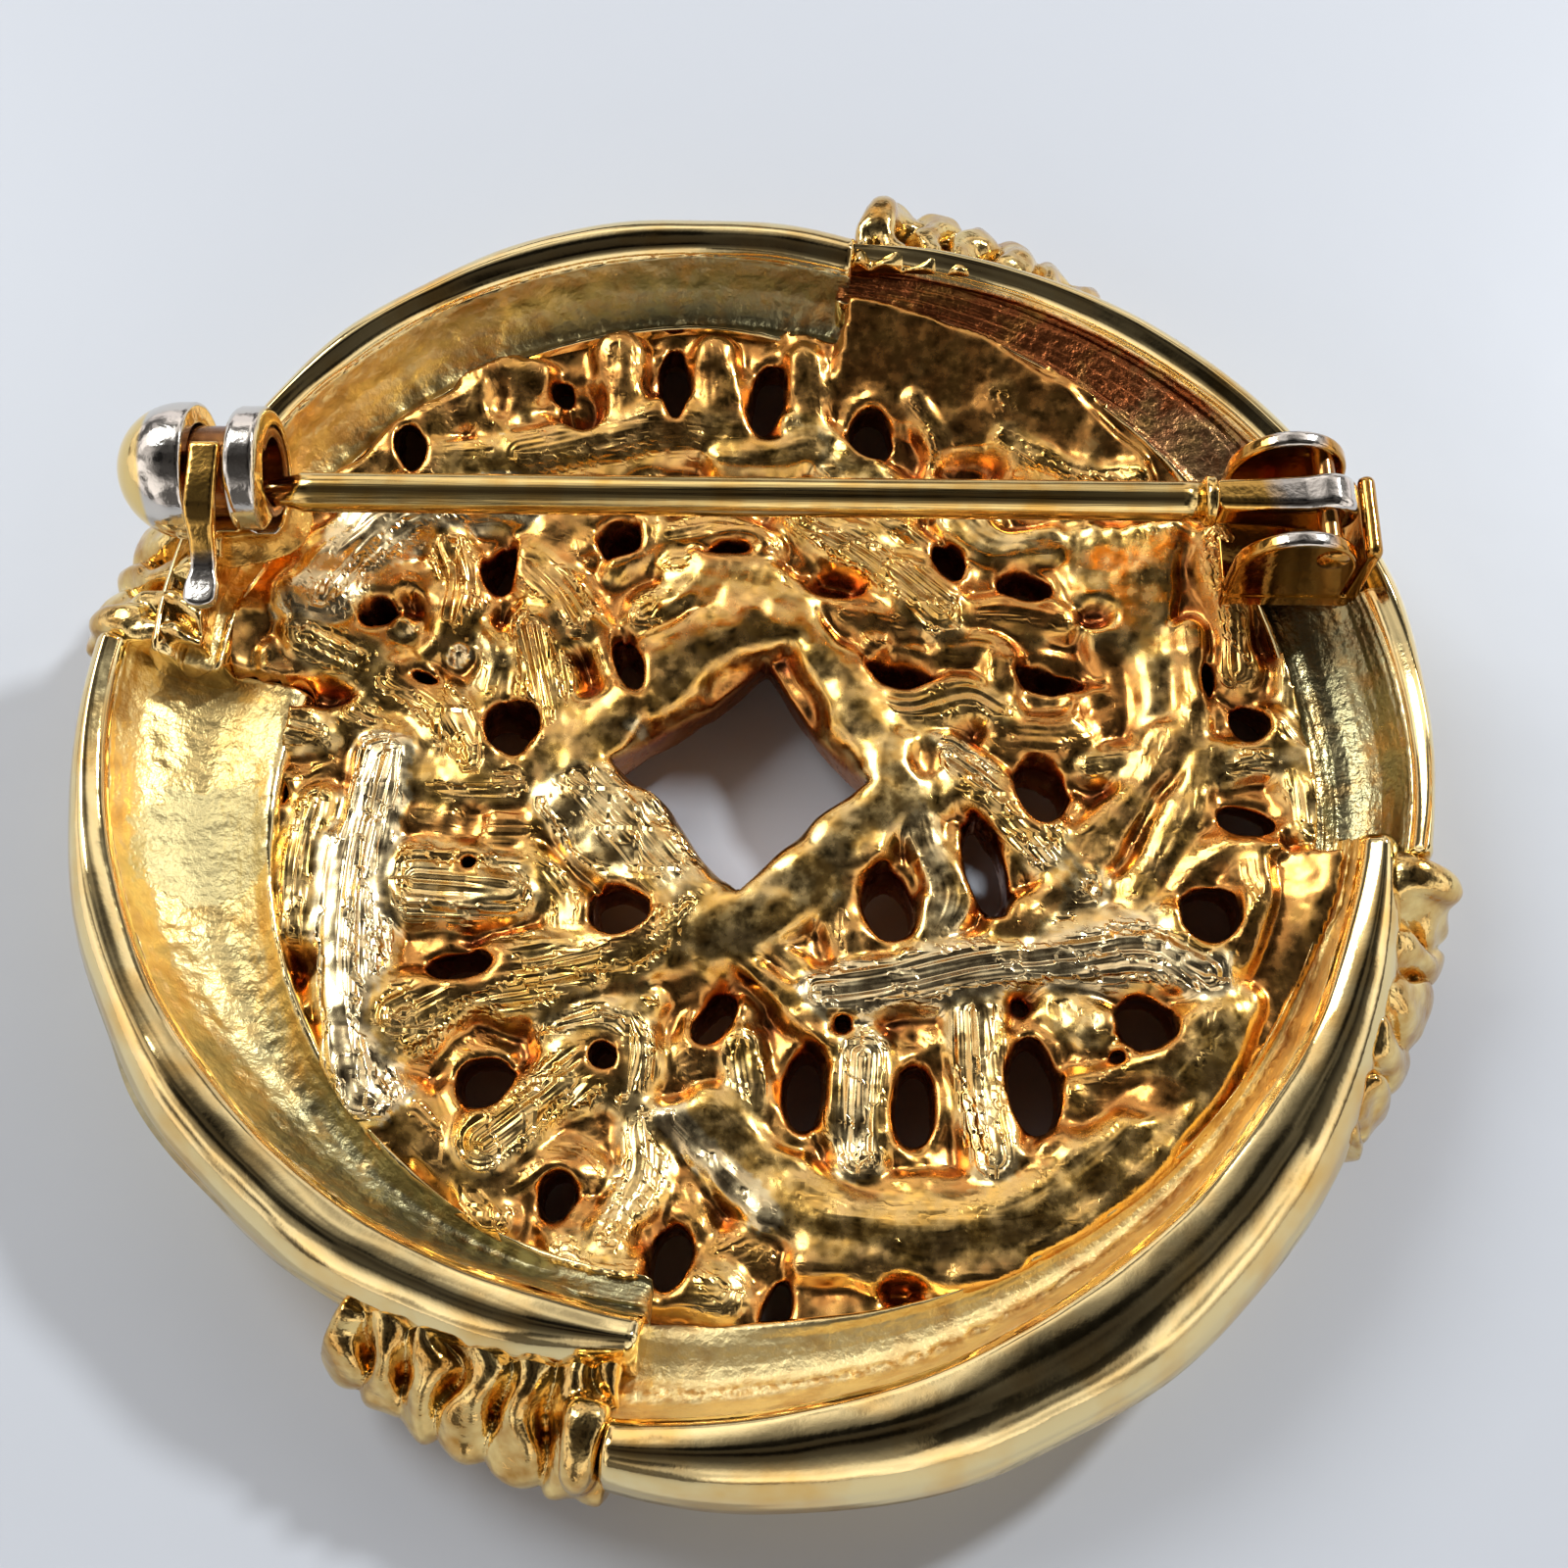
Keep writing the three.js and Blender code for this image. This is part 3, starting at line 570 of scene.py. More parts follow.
def crescent(quadrant):
    name = f"crescent_{quadrant + 1}"
    channel_ridge, wall_ridge, pitting, rough_line = CRESCENT_RELIEF[quadrant]
    body = np.linspace(*BODY_SPAN, int(STATIONS / COARSE))
    # Extra rings draw each end in to a rounded cap.
    rows = [(body[0] - BLUNT_CAP * (1 - t), shrink) for t, shrink in END_CAP]
    rows += [(station, 1.0) for station in body]
    rows += [(body[-1] + TAIL_CAP * (1 - t), shrink) for t, shrink in reversed(END_CAP)]
    rings = []
    finish = []
    for station, shrink in rows:
        inside = min(max(station, 0.0), 1.0)
        fill = channel_fill(quadrant, inside)
        ring = closed_curve(crescent_profile(quadrant, inside, fill), KNOT_STEPS)
        centre = ring.mean(0)
        ring = centre + (ring - centre) * shrink
        ring[:, 1] = np.maximum(ring[:, 1], 0.0)
        knot = np.arange(len(ring)) / KNOT_STEPS
        channel = smooth_step(CHANNEL_KNOTS[0], CHANNEL_KNOTS[0] + 0.5, knot)
        channel = channel * (1 - smooth_step(CHANNEL_KNOTS[1] - 0.2, CHANNEL_KNOTS[1], knot))
        wall = smooth_step(WALL_KNOTS[0], WALL_KNOTS[0] + 0.8, knot)
        wall = wall * (1 - smooth_step(WALL_KNOTS[1] - 0.6, WALL_KNOTS[1], knot))
        angle = FIRST_END + quadrant * math.pi / 2 - SWEEP * station
        along = np.full(len(ring), RIM_R * SWEEP * station)
        around = ring[:, 0] + ring[:, 1] + 40.0 * quadrant
        wave = np.sin(2 * math.pi * (knot * RIDGES_PER_KNOT + RIDGES_PER_CRESCENT * station)
                      + 3.0 * value_noise((along, around), 5.0, 3))
        wave = wave * (0.6 + 0.6 * value_noise((along, around), 2.0, 4))
        pits = value_noise((along, around), 0.42, 5) + 0.6 * value_noise((along, around), 0.2, 6)
        line_at = LINE_KNOT - LINE_DRIFT * station
        middle = np.exp(-((knot - line_at) / LINE_WIDTH) ** 2) * rough_line
        gentle = 0.10 * value_noise((along, around), 3.4, 7)
        lift = gentle * (ring[:, 1] > 0.4) + channel * (channel_ridge * wave + pitting * pits)
        lift = lift + wall * wall_ridge * wave + middle * (0.12 + 0.1 * pits)
        tangent = np.roll(ring, -1, 0) - np.roll(ring, 1, 0)
        normal = np.stack([tangent[:, 1], -tangent[:, 0]], 1)
        normal = -normal / np.maximum(np.linalg.norm(normal, axis=1, keepdims=True), 1e-9)
        ring = ring + normal * lift[:, None] * shrink
        ring[:, 1] = np.maximum(ring[:, 1], 0.0)
        rings.append(np.stack([ring[:, 0] * np.cos(angle), ring[:, 0] * np.sin(angle),
                               ring[:, 1]], 1))
        finish.append(np.stack([channel, middle, channel * 0 + inside], 1))
    return close_rings(name, rings, finish)


def close_rings(name, rings, finish):
    """Piece from rings of equal counts, with a fan at each end."""
    count = len(rings[0])
    vertices = np.vstack(rings + [rings[0].mean(0)[None], rings[-1].mean(0)[None]])
    marks = np.vstack(finish + [finish[0].mean(0)[None], finish[-1].mean(0)[None]])
    faces = []
    for row in range(len(rings) - 1):
        for i in range(count):
            a = row * count + i
            b = row * count + (i + 1) % count
            faces.append((a, b, b + count, a + count))
    first = len(rings) * count
    last = (len(rings) - 1) * count
    for i in range(count):
        after = (i + 1) % count
        faces.append((first, after, i))
        faces.append((first + 1, last + i, last + after))
    piece = make_object(name, vertices, faces)
    add_vector(piece, "finish", marks)
    return piece


def face_outwards(piece):
    """Turns the faces round if the closed mesh is inside out."""
    mesh = piece.data
    volume = 0.0
    for polygon in mesh.polygons:
        volume += polygon.center.dot(polygon.normal) * polygon.area
    if volume < 0:
        mesh.flip_normals()


def finish_piece(piece, material, body, slot, *nodes):
    piece.data.materials.append(material)
    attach(piece, body)
    if nodes:
        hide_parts(*nodes)


for quadrant in range(QUADRANTS):
    piece = crescent(quadrant)
    face_outwards(piece)
    look = crescent_material(f"polished_gold_{quadrant + 1}", *CRESCENT_LOOKS[quadrant])
    piece.name = f"rolled_crescent_{quadrant + 1}"
    finish_piece(piece, look, "root", "polished_gold", f"crescent_{quadrant + 1}")


# ---- Woven casting ---------------------------------------------------------------------
# Reliefs are heights over the XY plane. A strand is (half width, lift, striation, tone,
# path): tone runs from -1, coppery painted shade, to 1, pale painted highlight. Up, left
# and right are as seen from the back, with +Y up.
def arc_path(radius_from, radius_to, degrees_from, degrees_to):
    path = []
    for t in np.linspace(0, 1, 7):
        angle = math.radians(degrees_from + (degrees_to - degrees_from) * t)
        radius = radius_from + (radius_to - radius_from) * t
        path.append((radius * math.cos(angle), radius * math.sin(angle)))
    return path


def fan(first, last, count, half_width, lift, striation, tone):
    """Strands spread evenly between two paths of equal length."""
    strands = []
    for t in np.linspace(0, 1, count):
        path = [tuple(np.array(a) * (1 - t) + np.array(b) * t) for a, b in zip(first, last)]
        strands.append((half_width, lift, striation, tone, path))
    return strands


STRANDS = [
    # Over the pin: posts between the tall holes, and leaves below them
    (0.85, 0.35, 0.1, -0.7, [(-10.6, 16.2), (-10.3, 13.8)]),
    (0.75, 0.45, 0.1, -0.6, [(-5.6, 17.2), (-5.4, 14.9)]),
    (0.70, 0.55, 0.1, -0.6, [(-1.9, 17.4), (-1.8, 14.8)]),
    (0.55, 0.55, 0.1, -0.5, [(1.7, 17.0), (1.9, 14.6)]),
    (0.80, 0.60, 0.2, -0.1, [(-9.0, 12.6), (-6.0, 13.5), (-3.2, 14.2), (-1.4, 13.9)]),
    (0.55, 0.75, 0.1, 0.0, [(-1.4, 13.1), (0.2, 13.0), (1.8, 13.5)]),
    (0.60, 0.55, 0.2, 0.3, [(1.6, 14.3), (2.6, 13.2), (4.4, 11.9), (5.8, 11.4)]),
    (0.60, 0.45, 0.1, -0.5, [(-15.3, 11.0), (-12.4, 14.1), (-9.0, 16.0)]),
    (0.70, 0.55, 0.3, 0.0, [(-12.2, 11.9), (-9.6, 12.6)]),
    (0.45, 0.50, 0.2, -0.4, [(5.9, 15.2), (7.0, 13.2), (6.6, 12.2)]),
    (0.50, 0.45, 0.3, -0.2, [(9.4, 13.4), (11.6, 12.0), (14.0, 11.2)]),
    # Upper left
    (0.95, 0.55, 0.3, 0.95, [(-16.0, 6.3), (-14.6, 8.4), (-12.4, 10.2), (-9.5, 11.0)]),
    (0.60, 0.35, 0.3, 0.6, [(-16.2, 8.3), (-14.4, 10.4)]),
    (0.42, 0.70, 0.1, -0.2, [(-11.7, 6.9), (-12.0, 5.0), (-13.2, 4.2), (-14.3, 5.1)]),
    (0.45, 0.60, 0.1, -0.5, [(-11.8, 6.6), (-12.9, 7.6), (-14.0, 6.9)]),
    (0.85, 0.55, 1.0, -0.2, [(-11.7, 8.9), (-11.2, 7.4), (-11.3, 5.8)]),
    (0.60, 0.40, 0.1, -0.5, [(-9.6, 10.4), (-7.4, 10.2), (-5.0, 10.8)]),
    (1.00, 0.30, 0.1, -0.6, [(-8.0, 9.4), (-7.2, 8.9)]),
    (0.80, 0.60, 1.0, -0.1, [(-8.6, 8.2), (-7.4, 7.0), (-6.6, 5.8)]),
    (0.40, 0.65, 0.2, 0.0, [(-4.1, 10.4), (-4.4, 8.9), (-5.4, 8.0)]),
    (0.75, 0.65, 1.0, 0.0, [(-8.3, 5.6), (-7.8, 3.6), (-7.3, 1.6), (-7.0, 0.3)]),
    (0.42, 0.65, 0.5, 0.1, [(-5.9, 5.4), (-5.4, 4.0), (-4.8, 2.6)]),
    (0.90, 0.55, 1.0, 0.0, [(-13.2, 3.4), (-11.5, 2.2), (-10.3, 0.3)]),
    (0.55, 0.50, 0.3, 0.2, [(-10.4, 5.4), (-9.6, 4.2), (-9.9, 3.0)]),
    (0.80, 0.60, 0.6, 0.2, [(-16.2, 4.6), (-14.4, 4.0)]),
    (0.70, 0.45, 0.8, 0.3, [(-17.6, 1.6), (-15.6, 1.0)]),
    (0.75, 0.45, 1.0, 0.0, [(-14.6, 2.0), (-13.0, 1.2), (-12.0, -0.4)]),
    (0.55, 0.60, 0.5, 0.1, [(-4.2, 6.2), (-2.9, 7.2), (-1.2, 7.6), (0.2, 7.2)]),
    (0.50, 0.60, 0.5, 0.0, [(-3.2, 8.2), (-1.4, 8.3), (0.6, 7.6), (1.6, 6.6)]),
    (0.45, 0.60, 0.3, -0.2, [(-3.6, 9.6), (-1.6, 9.9), (0.4, 9.2)]),
    # Upper right
    (0.75, 0.60, 1.0, 0.1, [(1.6, 10.3), (4.0, 8.9), (6.9, 6.4)]),
    (0.50, 0.50, 0.6, 0.0, [(4.2, 10.6), (5.8, 9.4), (7.4, 8.0)]),
    (0.55, 0.60, 0.1, 0.3, [(7.6, 10.4), (8.9, 9.3), (11.0, 9.3)]),
    (0.50, 0.50, 0.4, -0.6, [(3.4, 6.4), (6.0, 6.2), (9.0, 6.6), (11.4, 6.2)]),
    (0.50, 0.45, 0.3, -0.5, [(1.9, 7.4), (3.8, 6.6), (4.4, 5.4)]),
    (0.60, 0.60, 0.4, 0.0, [(4.0, 2.7), (5.8, 2.4), (7.8, 3.0), (9.0, 2.4)]),
    (0.45, 0.60, 0.3, 0.4, [(3.3, 4.5), (4.1, 3.2), (4.9, 1.9)]),
    (0.50, 0.50, 0.3, -0.4, [(7.2, 5.2), (8.8, 5.0), (9.0, 3.4)]),
    (0.60, 0.50, 0.3, -0.6, [(9.2, 1.6), (11.4, 1.6), (12.8, 2.6)]),
    (0.70, 0.60, 1.0, 0.45, [(6.9, 0.5), (9.2, -1.4), (11.6, -4.2)]),
    (0.50, 0.60, 0.2, 0.2, [(5.2, 1.6), (6.4, 0.6), (6.6, -1.0)]),
    (0.45, 0.50, 0.3, 0.1, [(12.2, 0.4), (13.4, 0.6), (13.6, -0.8), (12.6, -2.2)]),
    (0.45, 0.65, 0.1, -0.2, [(15.7, 5.2), (15.9, 3.4), (15.6, 1.4)]),
    (0.55, 0.45, 0.5, -0.3, [(16.9, 8.6), (17.4, 6.0), (17.4, 3.8)]),
    (0.70, 0.40, 0.4, 0.2, [(18.4, 1.4), (19.4, -0.2), (19.6, -2.2)]),
    (0.60, 0.45, 0.8, 0.3, [(16.6, 0.2), (18.2, 0.4), (19.6, 0.2)]),
    # Lower right
    (0.55, 0.65, 0.1, -0.3, [(14.8, 1.2), (13.0, -1.6), (10.8, -4.2), (8.9, -6.0)]),
    (0.50, 0.65, 0.1, -0.1, [(16.2, 0.6), (15.0, -2.0), (13.4, -4.4)]),
    (0.45, 0.50, 0.1, -0.5, [(17.8, -2.6), (15.4, -3.4), (13.8, -4.8)]),
    (0.85, 0.65, 1.0, 0.7, [(2.6, -8.3), (5.2, -7.9), (8.0, -7.2), (11.0, -6.9), (13.6, -6.6),
                            (15.6, -7.6)]),
    (0.55, 0.60, 1.0, 0.4, [(9.6, -6.1), (12.0, -5.7), (14.2, -5.6)]),
    (0.45, 0.55, 0.2, -0.3, [(3.4, -6.6), (3.0, -5.0), (3.3, -3.6)]),
    (0.55, 0.60, 0.2, 0.5, [(6.3, -6.2), (6.9, -4.6), (6.3, -3.0), (6.0, -1.8)]),
    (0.60, 0.55, 0.2, 0.8, [(1.4, -4.8), (2.6, -4.6)]),
    (0.35, 0.70, 0.1, -0.3, [(-4.3, -7.9), (-2.0, -6.9), (-0.8, -6.7), (0.8, -7.9), (2.8, -9.9)]),
    (0.30, 0.55, 0.1, -0.1, [(0.3, -6.2), (1.8, -7.4), (3.2, -8.6)]),
    (0.75, 0.55, 0.7, 0.5, [(4.0, -10.4), (3.9, -12.4), (3.9, -13.7)]),
    (0.70, 0.55, 0.8, 0.4, [(7.8, -8.8), (7.9, -11.4), (8.3, -13.8)]),
    (0.55, 0.50, 0.6, 0.2, [(-0.2, -10.2), (0.1, -12.0)]),
    (0.60, 0.45, 0.2, 0.3, [(10.8, -8.6), (11.6, -9.2)]),
    (0.45, 0.50, 0.2, -0.4, [(11.2, -11.6), (12.8, -11.2), (14.2, -10.4)]),
    (0.40, 0.40, 0.2, -0.5, [(3.0, -15.2), (5.4, -15.0), (8.0, -14.8), (10.8, -13.4)]),
    (0.60, 0.60, 0.1, 0.1, [(-1.2, -12.3), (0.6, -13.9), (2.4, -15.3), (5.0, -15.9),
                            (8.6, -15.6), (11.4, -13.9), (13.6, -11.8), (15.9, -8.9)]),
    (0.40, 0.45, 0.1, 0.0, [(-0.6, -14.6), (2.0, -16.4), (5.2, -16.8), (9.0, -16.6),
                            (12.4, -14.6), (15.2, -11.6), (16.8, -8.6)]),
    (0.50, 0.60, 0.2, 0.8, [(-2.2, -12.6), (-0.8, -13.9), (0.9, -15.6)]),
    (0.45, 0.40, 0.1, -0.2, [(2.2, -17.3), (5.4, -17.4), (8.6, -17.3)]),
    (0.45, 0.45, 0.2, -0.5, [(16.6, -6.8), (17.3, -5.2), (17.2, -3.6)]),
    # Lower left
    (0.95, 0.75, 1.0, 0.15, [(-11.6, -9.4), (-9.4, -8.2), (-6.6, -7.6), (-4.0, -6.8),
                             (-2.0, -5.4)]),
    (0.90, 0.65, 1.0, 0.2, [(-8.4, -13.6), (-6.8, -12.2), (-5.3, -10.8)]),
    (0.70, 0.55, 0.8, 0.3, [(-6.2, -9.6), (-4.6, -9.3), (-3.8, -10.2), (-4.0, -11.8)]),
    (1.00, 0.60, 0.8, 0.75, [(-13.2, 0.2), (-13.7, -4.0), (-13.4, -8.0), (-12.4, -12.0)]),
    (0.60, 0.45, 0.7, 0.2, [(-15.4, -1.6), (-15.7, -4.0), (-15.4, -6.4)]),
    (1.05, 0.65, 1.0, 0.3, [(-11.6, -4.4), (-9.8, -4.5), (-8.4, -4.6)]),
    (0.75, 0.40, 0.4, -0.5, [(-11.8, -2.0), (-10.0, -2.4), (-8.0, -2.4)]),
    (0.60, 0.60, 1.0, 0.0, [(-12.2, -0.2), (-10.2, -0.6), (-8.6, -0.6)]),
    (0.70, 0.60, 0.9, 0.4, [(-7.0, -1.4), (-5.8, -3.0), (-4.8, -3.6)]),
    (0.55, 0.60, 0.6, 0.0, [(-7.8, -3.6), (-6.6, -4.9), (-6.3, -6.0)]),
    (0.35, 0.65, 0.1, -0.4, [(-6.0, -6.3), (-4.6, -6.5), (-3.3, -5.8), (-3.2, -4.6)]),
    (0.55, 0.45, 0.5, -0.3, [(-10.9, -12.9), (-9.2, -14.4), (-8.0, -16.0)]),
    (0.55, 0.50, 0.6, 0.1, [(-3.4, -8.6), (-4.4, -8.9)]),
    (0.60, 0.50, 0.5, 0.3, [(-3.4, -12.6), (-3.2, -14.4), (-4.2, -16.6)]),
    (0.60, 0.40, 0.3, 0.2, [(-5.4, -17.2), (-3.9, -18.0), (-0.6, -18.2)]),
    (0.45, 0.50, 0.2, -0.4, [(-7.6, -14.9), (-6.2, -13.9), (-4.9, -14.4)]),
    # Bands round the window
    (1.00, 0.62, 0.0, -0.1, [(-6.6, 0.6), (-4.4, 2.9), (-2.2, 4.9), (-0.4, 6.2)]),
    (0.75, 0.66, 0.0, 0.1, [(-0.2, 6.2), (1.6, 5.6), (2.9, 3.6), (4.6, 1.0), (5.4, -0.4)]),
    (0.95, 0.75, 0.0, 0.25, [(-1.4, -6.0), (0.6, -5.2), (2.6, -3.4), (4.6, -1.4), (5.2, 0.2)]),
    (1.10, 0.55, 0.5, 0.4, [(-6.2, -0.4), (-4.6, -2.2), (-2.9, -4.2), (-1.8, -5.6)]),
]
# Fans of thin ridges: the inner wall at upper right, the tufts at right, and the folds
# that run round inside the rim.
STRANDS += fan(arc_path(15.6, 15.4, 84, 50), arc_path(19.4, 18.6, 88, 40), 9,
               0.20, 0.32, 0.0, -0.75)
STRANDS += fan([(11.2, 9.8), (12.6, 5.4), (14.0, 1.2)], [(15.3, 9.4), (15.0, 5.2), (14.9, 1.2)],
               7, 0.24, 0.50, 0.3, 0.15)
STRANDS += fan(arc_path(17.0, 17.4, -16, -62), arc_path(18.4, 18.4, -16, -66), 3,
               0.20, 0.30, 0.0, -0.1)
STRANDS += fan(arc_path(15.0, 16.4, 190, 236), arc_path(16.4, 17.8, 190, 238), 3,
               0.22, 0.34, 0.2, -0.3)
STRANDS += fan([(18.0, 8.4), (19.2, 4.6), (19.0, 2.2)], [(20.0, 7.6), (20.6, 4.4), (20.4, 2.0)],
               3, 0.28, 0.30, 0.3, 0.2)
# Small leaves with grooves above the window
STRANDS += fan([(-3.0, 6.6), (-2.0, 7.9)], [(-0.2, 6.6), (0.4, 7.8)], 4, 0.28, 0.85, 0.2, 0.1)

# Pierced holes: (x, y, half width, half height, turn in degrees, slope of the hole in x
# and in y for each millimetre of depth, rim height)
HOLES = [
    (-3.5, 16.2, 0.50, 1.45, 3, 0.0, 0.1, 0.10),
    (0.2, 15.7, 0.55, 1.35, -12, 0.0, 0.1, 0.15),
    (-7.9, 15.8, 0.36, 0.42, 0, 0.0, 0.1, 0.10),
    (-13.4, 13.0, 0.50, 0.95, 12, 0.0, 0.2, 0.10),
    (4.2, 14.1, 0.70, 0.90, 0, 0.0, 0.1, 0.35),
    (-9.7, 8.1, 0.55, 0.95, -8, 0.1, -0.4, 0.15),
    (-5.3, 9.4, 0.80, 0.75, -20, 0.3, -0.5, 0.15),
    (-1.1, 8.95, 0.70, 0.26, 8, 0.0, -0.4, 0.25),
    (7.2, 8.5, 0.45, 0.75, 20, 0.0, -0.2, 0.15),
    (10.0, 7.6, 0.85, 0.60, -20, 0.2, -0.3, 0.25),
    (-14.0, 5.8, 0.42, 0.62, -30, 0.3, -0.3, 0.10),
    (-4.7, 4.0, 0.42, 1.05, 18, 0.0, 0.0, 0.15),
    (5.4, 4.1, 1.15, 0.55, -8, -0.2, -0.5, 0.20),
    (10.9, 4.0, 1.15, 0.62, -6, -0.2, -0.5, 0.20),
    (-8.8, 1.5, 0.85, 0.95, 30, -0.2, -0.2, 0.15),
    (-12.2, 3.4, 0.45, 0.18, -20, 0.0, 0.0, 0.05),
    (-16.6, 2.4, 0.35, 0.40, 0, 0.0, 0.0, 0.20),
    (-19.3, 3.5, 0.22, 0.50, 10, 0.0, 0.0, 0.10),
    (16.4, 3.5, 0.18, 0.60, 0, 0.0, 0.0, 0.10),
    (17.8, 1.8, 0.55, 0.62, 20, 0.0, 0.1, 0.20),
    (10.3, -0.7, 0.90, 1.15, 8, -0.1, -0.1, 0.20),
    (-17.1, -1.3, 0.42, 0.45, 0, 0.0, 0.0, 0.25),
    (-9.9, -3.8, 0.22, 0.20, 0, 0.0, 0.0, 0.05),
    (-4.5, -5.5, 0.90, 0.78, 10, 0.0, 0.1, 0.35),
    (8.3, -3.6, 0.60, 1.55, 14, 0.0, 0.1, 0.35),
    (4.8, -4.9, 0.78, 1.20, 4, 0.0, -0.1, 0.35),
    (17.4, -1.9, 0.80, 0.50, -14, 0.0, 0.2, 0.25),
    (15.8, -5.4, 0.85, 0.85, 30, 0.0, 0.1, 0.35),
    (-9.9, -7.6, 1.10, 0.52, 4, 0.0, -0.2, 0.20),
    (9.4, -8.6, 0.24, 0.24, 0, 0.0, 0.0, 0.25),
    (3.3, -9.3, 0.20, 0.20, 0, 0.0, 0.0, 0.20),
    (-1.1, -9.0, 0.55, 0.95, -25, 0.0, -0.3, 0.35),
    (-4.8, -10.6, 0.40, 0.45, 30, 0.0, 0.0, 0.05),
    (13.5, -9.3, 0.80, 0.85, 20, 0.0, 0.0, 0.35),
    (12.5, -10.4, 0.18, 0.18, 0, 0.0, 0.0, 0.25),
    (-8.7, -11.6, 0.90, 0.85, 40, 0.0, 0.0, 0.25),
    (2.0, -11.5, 0.62, 1.22, -4, 0.0, 0.0, 0.40),
    (5.7, -12.1, 0.62, 1.30, -4, 0.0, 0.0, 0.40),
    (9.7, -11.4, 0.70, 1.40, 4, 0.0, 0.0, 0.40),
    (-6.0, -15.4, 0.50, 0.70, -10, 0.0, 0.0, 0.30),
    (-2.2, -17.3, 0.58, 1.10, -12, 0.0, 0.0, 0.25),
    (1.2, -18.8, 0.38, 0.75, -16, 0.0, 0.0, 0.20),
]
# Blind hollows: (x, y, half width, half height, depth, tone); their low tones paint coppery shade
# in them
HOLLOWS = [
    (-7.0, 15.0, 0.80, 1.10, 0.9, -1.0),
    (-10.2, 15.0, 0.50, 0.90, 0.3, -0.6),
    (8.0, 12.6, 1.40, 0.70, 0.8, -1.0),
    (2.9, 7.6, 1.10, 0.55, 0.9, -1.0),
    (12.6, 6.4, 0.70, 0.50, 0.6, -1.0),
    (-18.0, 3.9, 1.30, 1.00, 0.25, -0.3),
    (-16.0, 2.6, 1.40, 0.50, 0.8, -0.9),
    (5.2, -18.1, 0.70, 0.45, 0.8, -0.9),
    (-15.6, -7.6, 0.70, 0.90, 0.5, -0.7),
    (12.9, 3.0, 1.20, 2.20, 0.3, -1.0),
    (18.6, 5.6, 0.80, 1.60, 0.3, -0.6),
    (-10.0, -2.2, 0.60, 0.80, 0.3, -0.8),
    (13.2, -11.8, 1.50, 0.80, 0.3, -0.9),
    (6.2, 0.4, 0.60, 0.80, 0.3, -0.6),
    (-14.8, -10.6, 0.60, 1.30, 0.4, -0.5),
]
# Bead inside the teardrop hole, and bright pips: (x, y, radius, height, tone)
BEADS = [
    (-13.1, 5.4, 0.55, 0.55, 0.5),
    (4.3, -4.6, 0.45, 0.10, 0.9),
    (-9.9, 13.5, 0.35, 0.45, 0.8),
    (-10.6, 13.0, 0.25, 0.40, 0.8),
    (-5.9, 14.3, 0.30, 0.40, 0.3),
    (-8.2, 13.6, 0.25, 0.45, 0.2),
    (2.4, 13.9, 0.35, 0.60, 0.4),
    (-3.1, 5.4, 0.40, 0.55, 0.3),
    (-2.4, 5.7, 0.35, 0.55, 0.2),
    (-4.4, 1.7, 0.40, 0.75, 0.8),
    (-11.0, 4.4, 0.40, 0.60, 0.9),
    (5.4, 0.2, 0.40, 0.60, 0.6),
    (12.6, -10.2, 0.30, 0.40, 0.6),
    (14.9, -13.9, 0.30, 0.40, 0.3),
]
WINDOW = [(0.4, 4.6), (1.2, 3.2), (2.3, 1.5), (4.15, -0.5), (2.3, -1.9), (0.9, -3.3),
          (-0.4, -4.7), (-1.7, -3.4), (-2.9, -1.5), (-5.2, 0.3), (-3.6, 1.4), (-1.6, 2.7)]

PLATE_KNOTS_R = (0.0, 13.6, 16.4, 20.6)
PLATE_BACK_Z = (BAND_TOP_Z, BAND_TOP_Z, BAND_TOP_Z + 0.6, BAND_TOP_Z + 1.4)
PLATE_FRONT_R = (5.2, 11.0, 16.0, 20.0)
PLATE_FRONT_Z = tuple(DOME_LOW[2] + rise for rise in (0.0, 0.2, 0.9, 1.6))
FLOOR_DROP = 0.52  # how far the hollows' floor lies under the plate's level
WEAVE_VOXEL = 0.15 * COARSE
WEAVE_HALF = 20.8  # half the width of the weave's grid
STRAND_SPREAD = 1.4  # a strand's width at its foot, over its width in the table
RIDGE_PITCH = 0.46
SMOOTHING = 0.18  # how softly a strand joins what it crosses
HOLE_EDGE = 0.22  # roundness of the holes' edges
WINDOW_EDGE = 0.35
RECESS_SPAN = 0.9  # half width of the area that a recess is measured against
STRAND_STEP = 3.7  # sets the striations of neighbouring strands apart
FRONT_PITCH = 2.5
FRONT_LIFT = 0.30
FILLER_SEED = 7
FILLER_RADII = np.arange(6.5, 18.5, 1.5)
FILLER_PITCH = 4.0


def crescent_place(x, y):
    """Quadrant and station of the crescent that lies in a direction."""
    turn = (FIRST_END - np.arctan2(y, x)) % (2 * math.pi)
    # Turning clockwise from crescent 1's blunt end comes to those of 4, 3 and 2.
    quadrant = -np.floor(turn / (math.pi / 2)).astype(int) % QUADRANTS
    station = np.clip((turn % (math.pi / 2)) / SWEEP, 0, 1)
    return quadrant, station


def rim_radius(x, y):
    """Inner edge of the crescents' channels in a direction."""
    quadrant, station = crescent_place(x, y)
    return np.choose(quadrant, [edge(station) for edge in CHANNEL_R])


def wall_rise(x, y):
    """The plate climbs to the crest beside each blunt end, like a cove."""
    quadrant, station = crescent_place(x, y)
    fades = np.array(FILL_FADES)
    amount = 1 - smooth_step(fades[quadrant, 0], fades[quadrant, 1], station)
    climb = np.clip((np.hypot(x, y) - 15.2) / 4.0, 0, 1.2)
    return amount * 1.1 * climb ** 1.3


